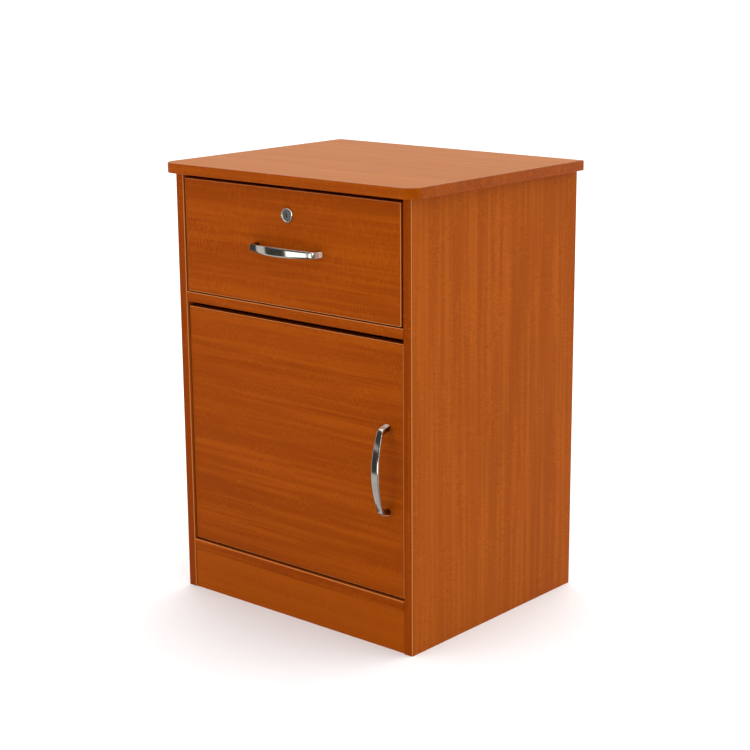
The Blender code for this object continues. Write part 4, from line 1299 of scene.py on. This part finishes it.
# ---- Studio -------------------------------------------------------------------------------------
@dataclass
class Studio:
    """The floor, the light and the camera."""

    position: Triple = (1.7853, -2.05667, 1.03149)
    yaw: float = 0.71283
    pitch: float = 0.24212
    roll: float = -0.00736
    lens: float = 83.826
    sensor: float = 36.0
    sight: float = 500.0
    floor_half: float = 120.0
    lamp_place: Triple = (-1.5, -3.0, 0.45)
    lamp_aim: Triple = (0.0, 0.0, 0.4)
    lamp_size: tuple[float, float] = (2.4, 1.6)
    lamp_power: float = 40.0
    card_softness: tuple[float, float] = (2.5, 3.0)
    cards: tuple[tuple[float, float, float, float, float], ...] = (
        (3.0, 29.0, -17.0, -3.0, 1.9),
        (58.0, 76.0, -40.0, 20.0, 0.50),
        (22.0, 62.0, -80.0, -15.0, 0.42),
        (25.0, 56.0, 2.0, 9.0, 0.35),
        (-58.0, -44.0, -8.0, 45.0, 4.0),
        (-42.0, 4.0, -70.0, 30.0, 0.38),
    )

    def build(self) -> None:
        """Build the studio."""
        self.camera()
        self.floor()
        self.sky()
        self.lamp()
        scene = bpy.context.scene
        scene.view_settings.view_transform = "Standard"
        scene.view_settings.look = "None"

    def camera(self) -> None:
        """Aim the camera: forward from yaw and pitch, with right and up turned by the roll."""
        sy, cy = math.sin(self.yaw), math.cos(self.yaw)
        sp, cp = math.sin(self.pitch), math.cos(self.pitch)
        forward = np.array([-sy * cp, cy * cp, -sp])
        level = np.array([cy, sy, 0.0])
        rise = np.cross(level, forward)
        right = level * math.cos(self.roll) + rise * math.sin(self.roll)
        up = rise * math.cos(self.roll) - level * math.sin(self.roll)
        data = bpy.data.cameras.new("camera")
        data.lens = self.lens
        data.sensor_width = self.sensor
        data.clip_end = self.sight
        made = bpy.data.objects.new("camera", data)
        turn = np.eye(4)
        turn[:3, 0], turn[:3, 1], turn[:3, 2], turn[:3, 3] = right, up, -forward, self.position
        made.matrix_world = Matrix(turn.tolist())
        bpy.context.scene.collection.objects.link(made)
        bpy.context.scene.camera = made

    def floor(self) -> None:
        """A wide pale floor, which plate doesn't mirror."""
        shell = Shell()
        half = self.floor_half
        corners = np.array([(-half, -half, 0.0), (half, -half, 0.0), (half, half, 0.0), (-half, half, 0.0)])
        shell.cap(shell.add_points(corners))
        made = shell.build("studio_floor")
        g = Graph(bpy.data.materials.new("studio_floor"))
        cloud = g.noise(g.place(), 0.7, 2.0)
        colour = g.mix(cloud, (0.93, 0.93, 0.93), (0.95, 0.95, 0.95))
        made.data.materials.append(g.surface(Base_Color=colour, Roughness=0.8, Specular_IOR_Level=0.1))
        made.visible_glossy = False

    def sky(self) -> None:
        """Soft light all round, a studio of cards for reflections, and plain white behind it all.

        Matt surfaces are lit by the soft light, reflections see the cards and the camera sees
        white. A direction's azimuth is measured from the front towards the left, and its
        elevation up from the horizon. A card is its left, right, low and high edges in degrees,
        and its level: a smooth step up and down in both directions.
        """
        world = bpy.data.worlds.new("studio_sky")
        bpy.context.scene.world = world
        g = Graph(world)
        place = g.node("TexCoord", output="Generated")
        x, y, z = (g.node("SeparateXYZ", None, {0: place}, k) for k in range(3))
        azimuth = g.node("Math", {"operation": "ARCTAN2"}, {0: 0.0 - x, 1: 0.0 - y}) * math.degrees(1.0)
        elevation = g.node("Math", {"operation": "ARCSINE"}, {0: z}) * math.degrees(1.0)
        soft = y.ramp(-0.25, 0.65) * 0.95 + z.ramp(0.15, 0.9) * 1.10 + 0.30
        cards = y.ramp(-0.05, 0.30) * 0.95 + elevation.ramp(24.0, 50.0) * 1.0 + 0.045
        wide, tall = self.card_softness
        for left, right, low, high, level in self.cards:
            across = azimuth.ramp(left, left + wide) * azimuth.ramp(right - wide, right, 1.0, 0.0)
            upward = elevation.ramp(low, low + tall) * elevation.ramp(high - tall, high, 1.0, 0.0)
            cards = cards + across * upward * level
        glossy = g.node("LightPath", output="Is Glossy Ray")
        level = soft + (cards - soft) * glossy
        background = g.node("Background", None, {"Color": (1.0, 1.0, 1.0, 1.0), "Strength": level})
        white = g.node("Background", None, {"Color": (1.0, 1.0, 1.0, 1.0), "Strength": 1.0})
        seen = g.node("LightPath", output="Is Camera Ray")
        both = g.node("MixShader", None, {0: seen, 1: background, 2: white})
        g.node("OutputWorld", None, {"Surface": both})

    def lamp(self) -> None:
        """A large soft lamp, low at the front left, which plate doesn't mirror."""
        data = bpy.data.lights.new("key", "AREA")
        data.shape = "RECTANGLE"
        data.size, data.size_y = self.lamp_size
        data.energy = self.lamp_power
        made = bpy.data.objects.new("key", data)
        made.location = self.lamp_place
        made.visible_glossy = False
        aim = Vector(self.lamp_aim) - Vector(made.location)
        made.rotation_euler = aim.to_track_quat("-Z", "Y").to_euler()
        bpy.context.scene.collection.objects.link(made)


def main() -> None:
    """Build the cabinet from the carcass out, then the studio."""
    logging.basicConfig(level=logging.INFO, format="%(message)s")
    chrome = Plating("polished_chrome", (0.83, 0.78, 0.69), 0.10).material()
    zinc = Plating("bright_zinc", (0.62, 0.62, 0.60), 0.30).material()
    Studio().build()
    Carcass().build()
    drawer_screws = ("drawer_handle_left_screw", "drawer_handle_right_screw")
    door_screws = ("door_handle_lower_screw", "door_handle_upper_screw")
    Front("drawer_front", "drawer", (0.0, 0.0, 0.0), drawer_screws, lock=True).build()
    Front("door_panel", "door", (0.35, 0.0, 0.15), door_screws, cups=True).build()
    BowHandle("drawer_handle", "drawer", upright=False).build(chrome)
    BowHandle("door_handle", "door", upright=True).build(chrome)
    DrawerBox().build()
    Lock().build(chrome, zinc)
    Hardware().build(zinc)


if __name__ == "__main__":
    main()
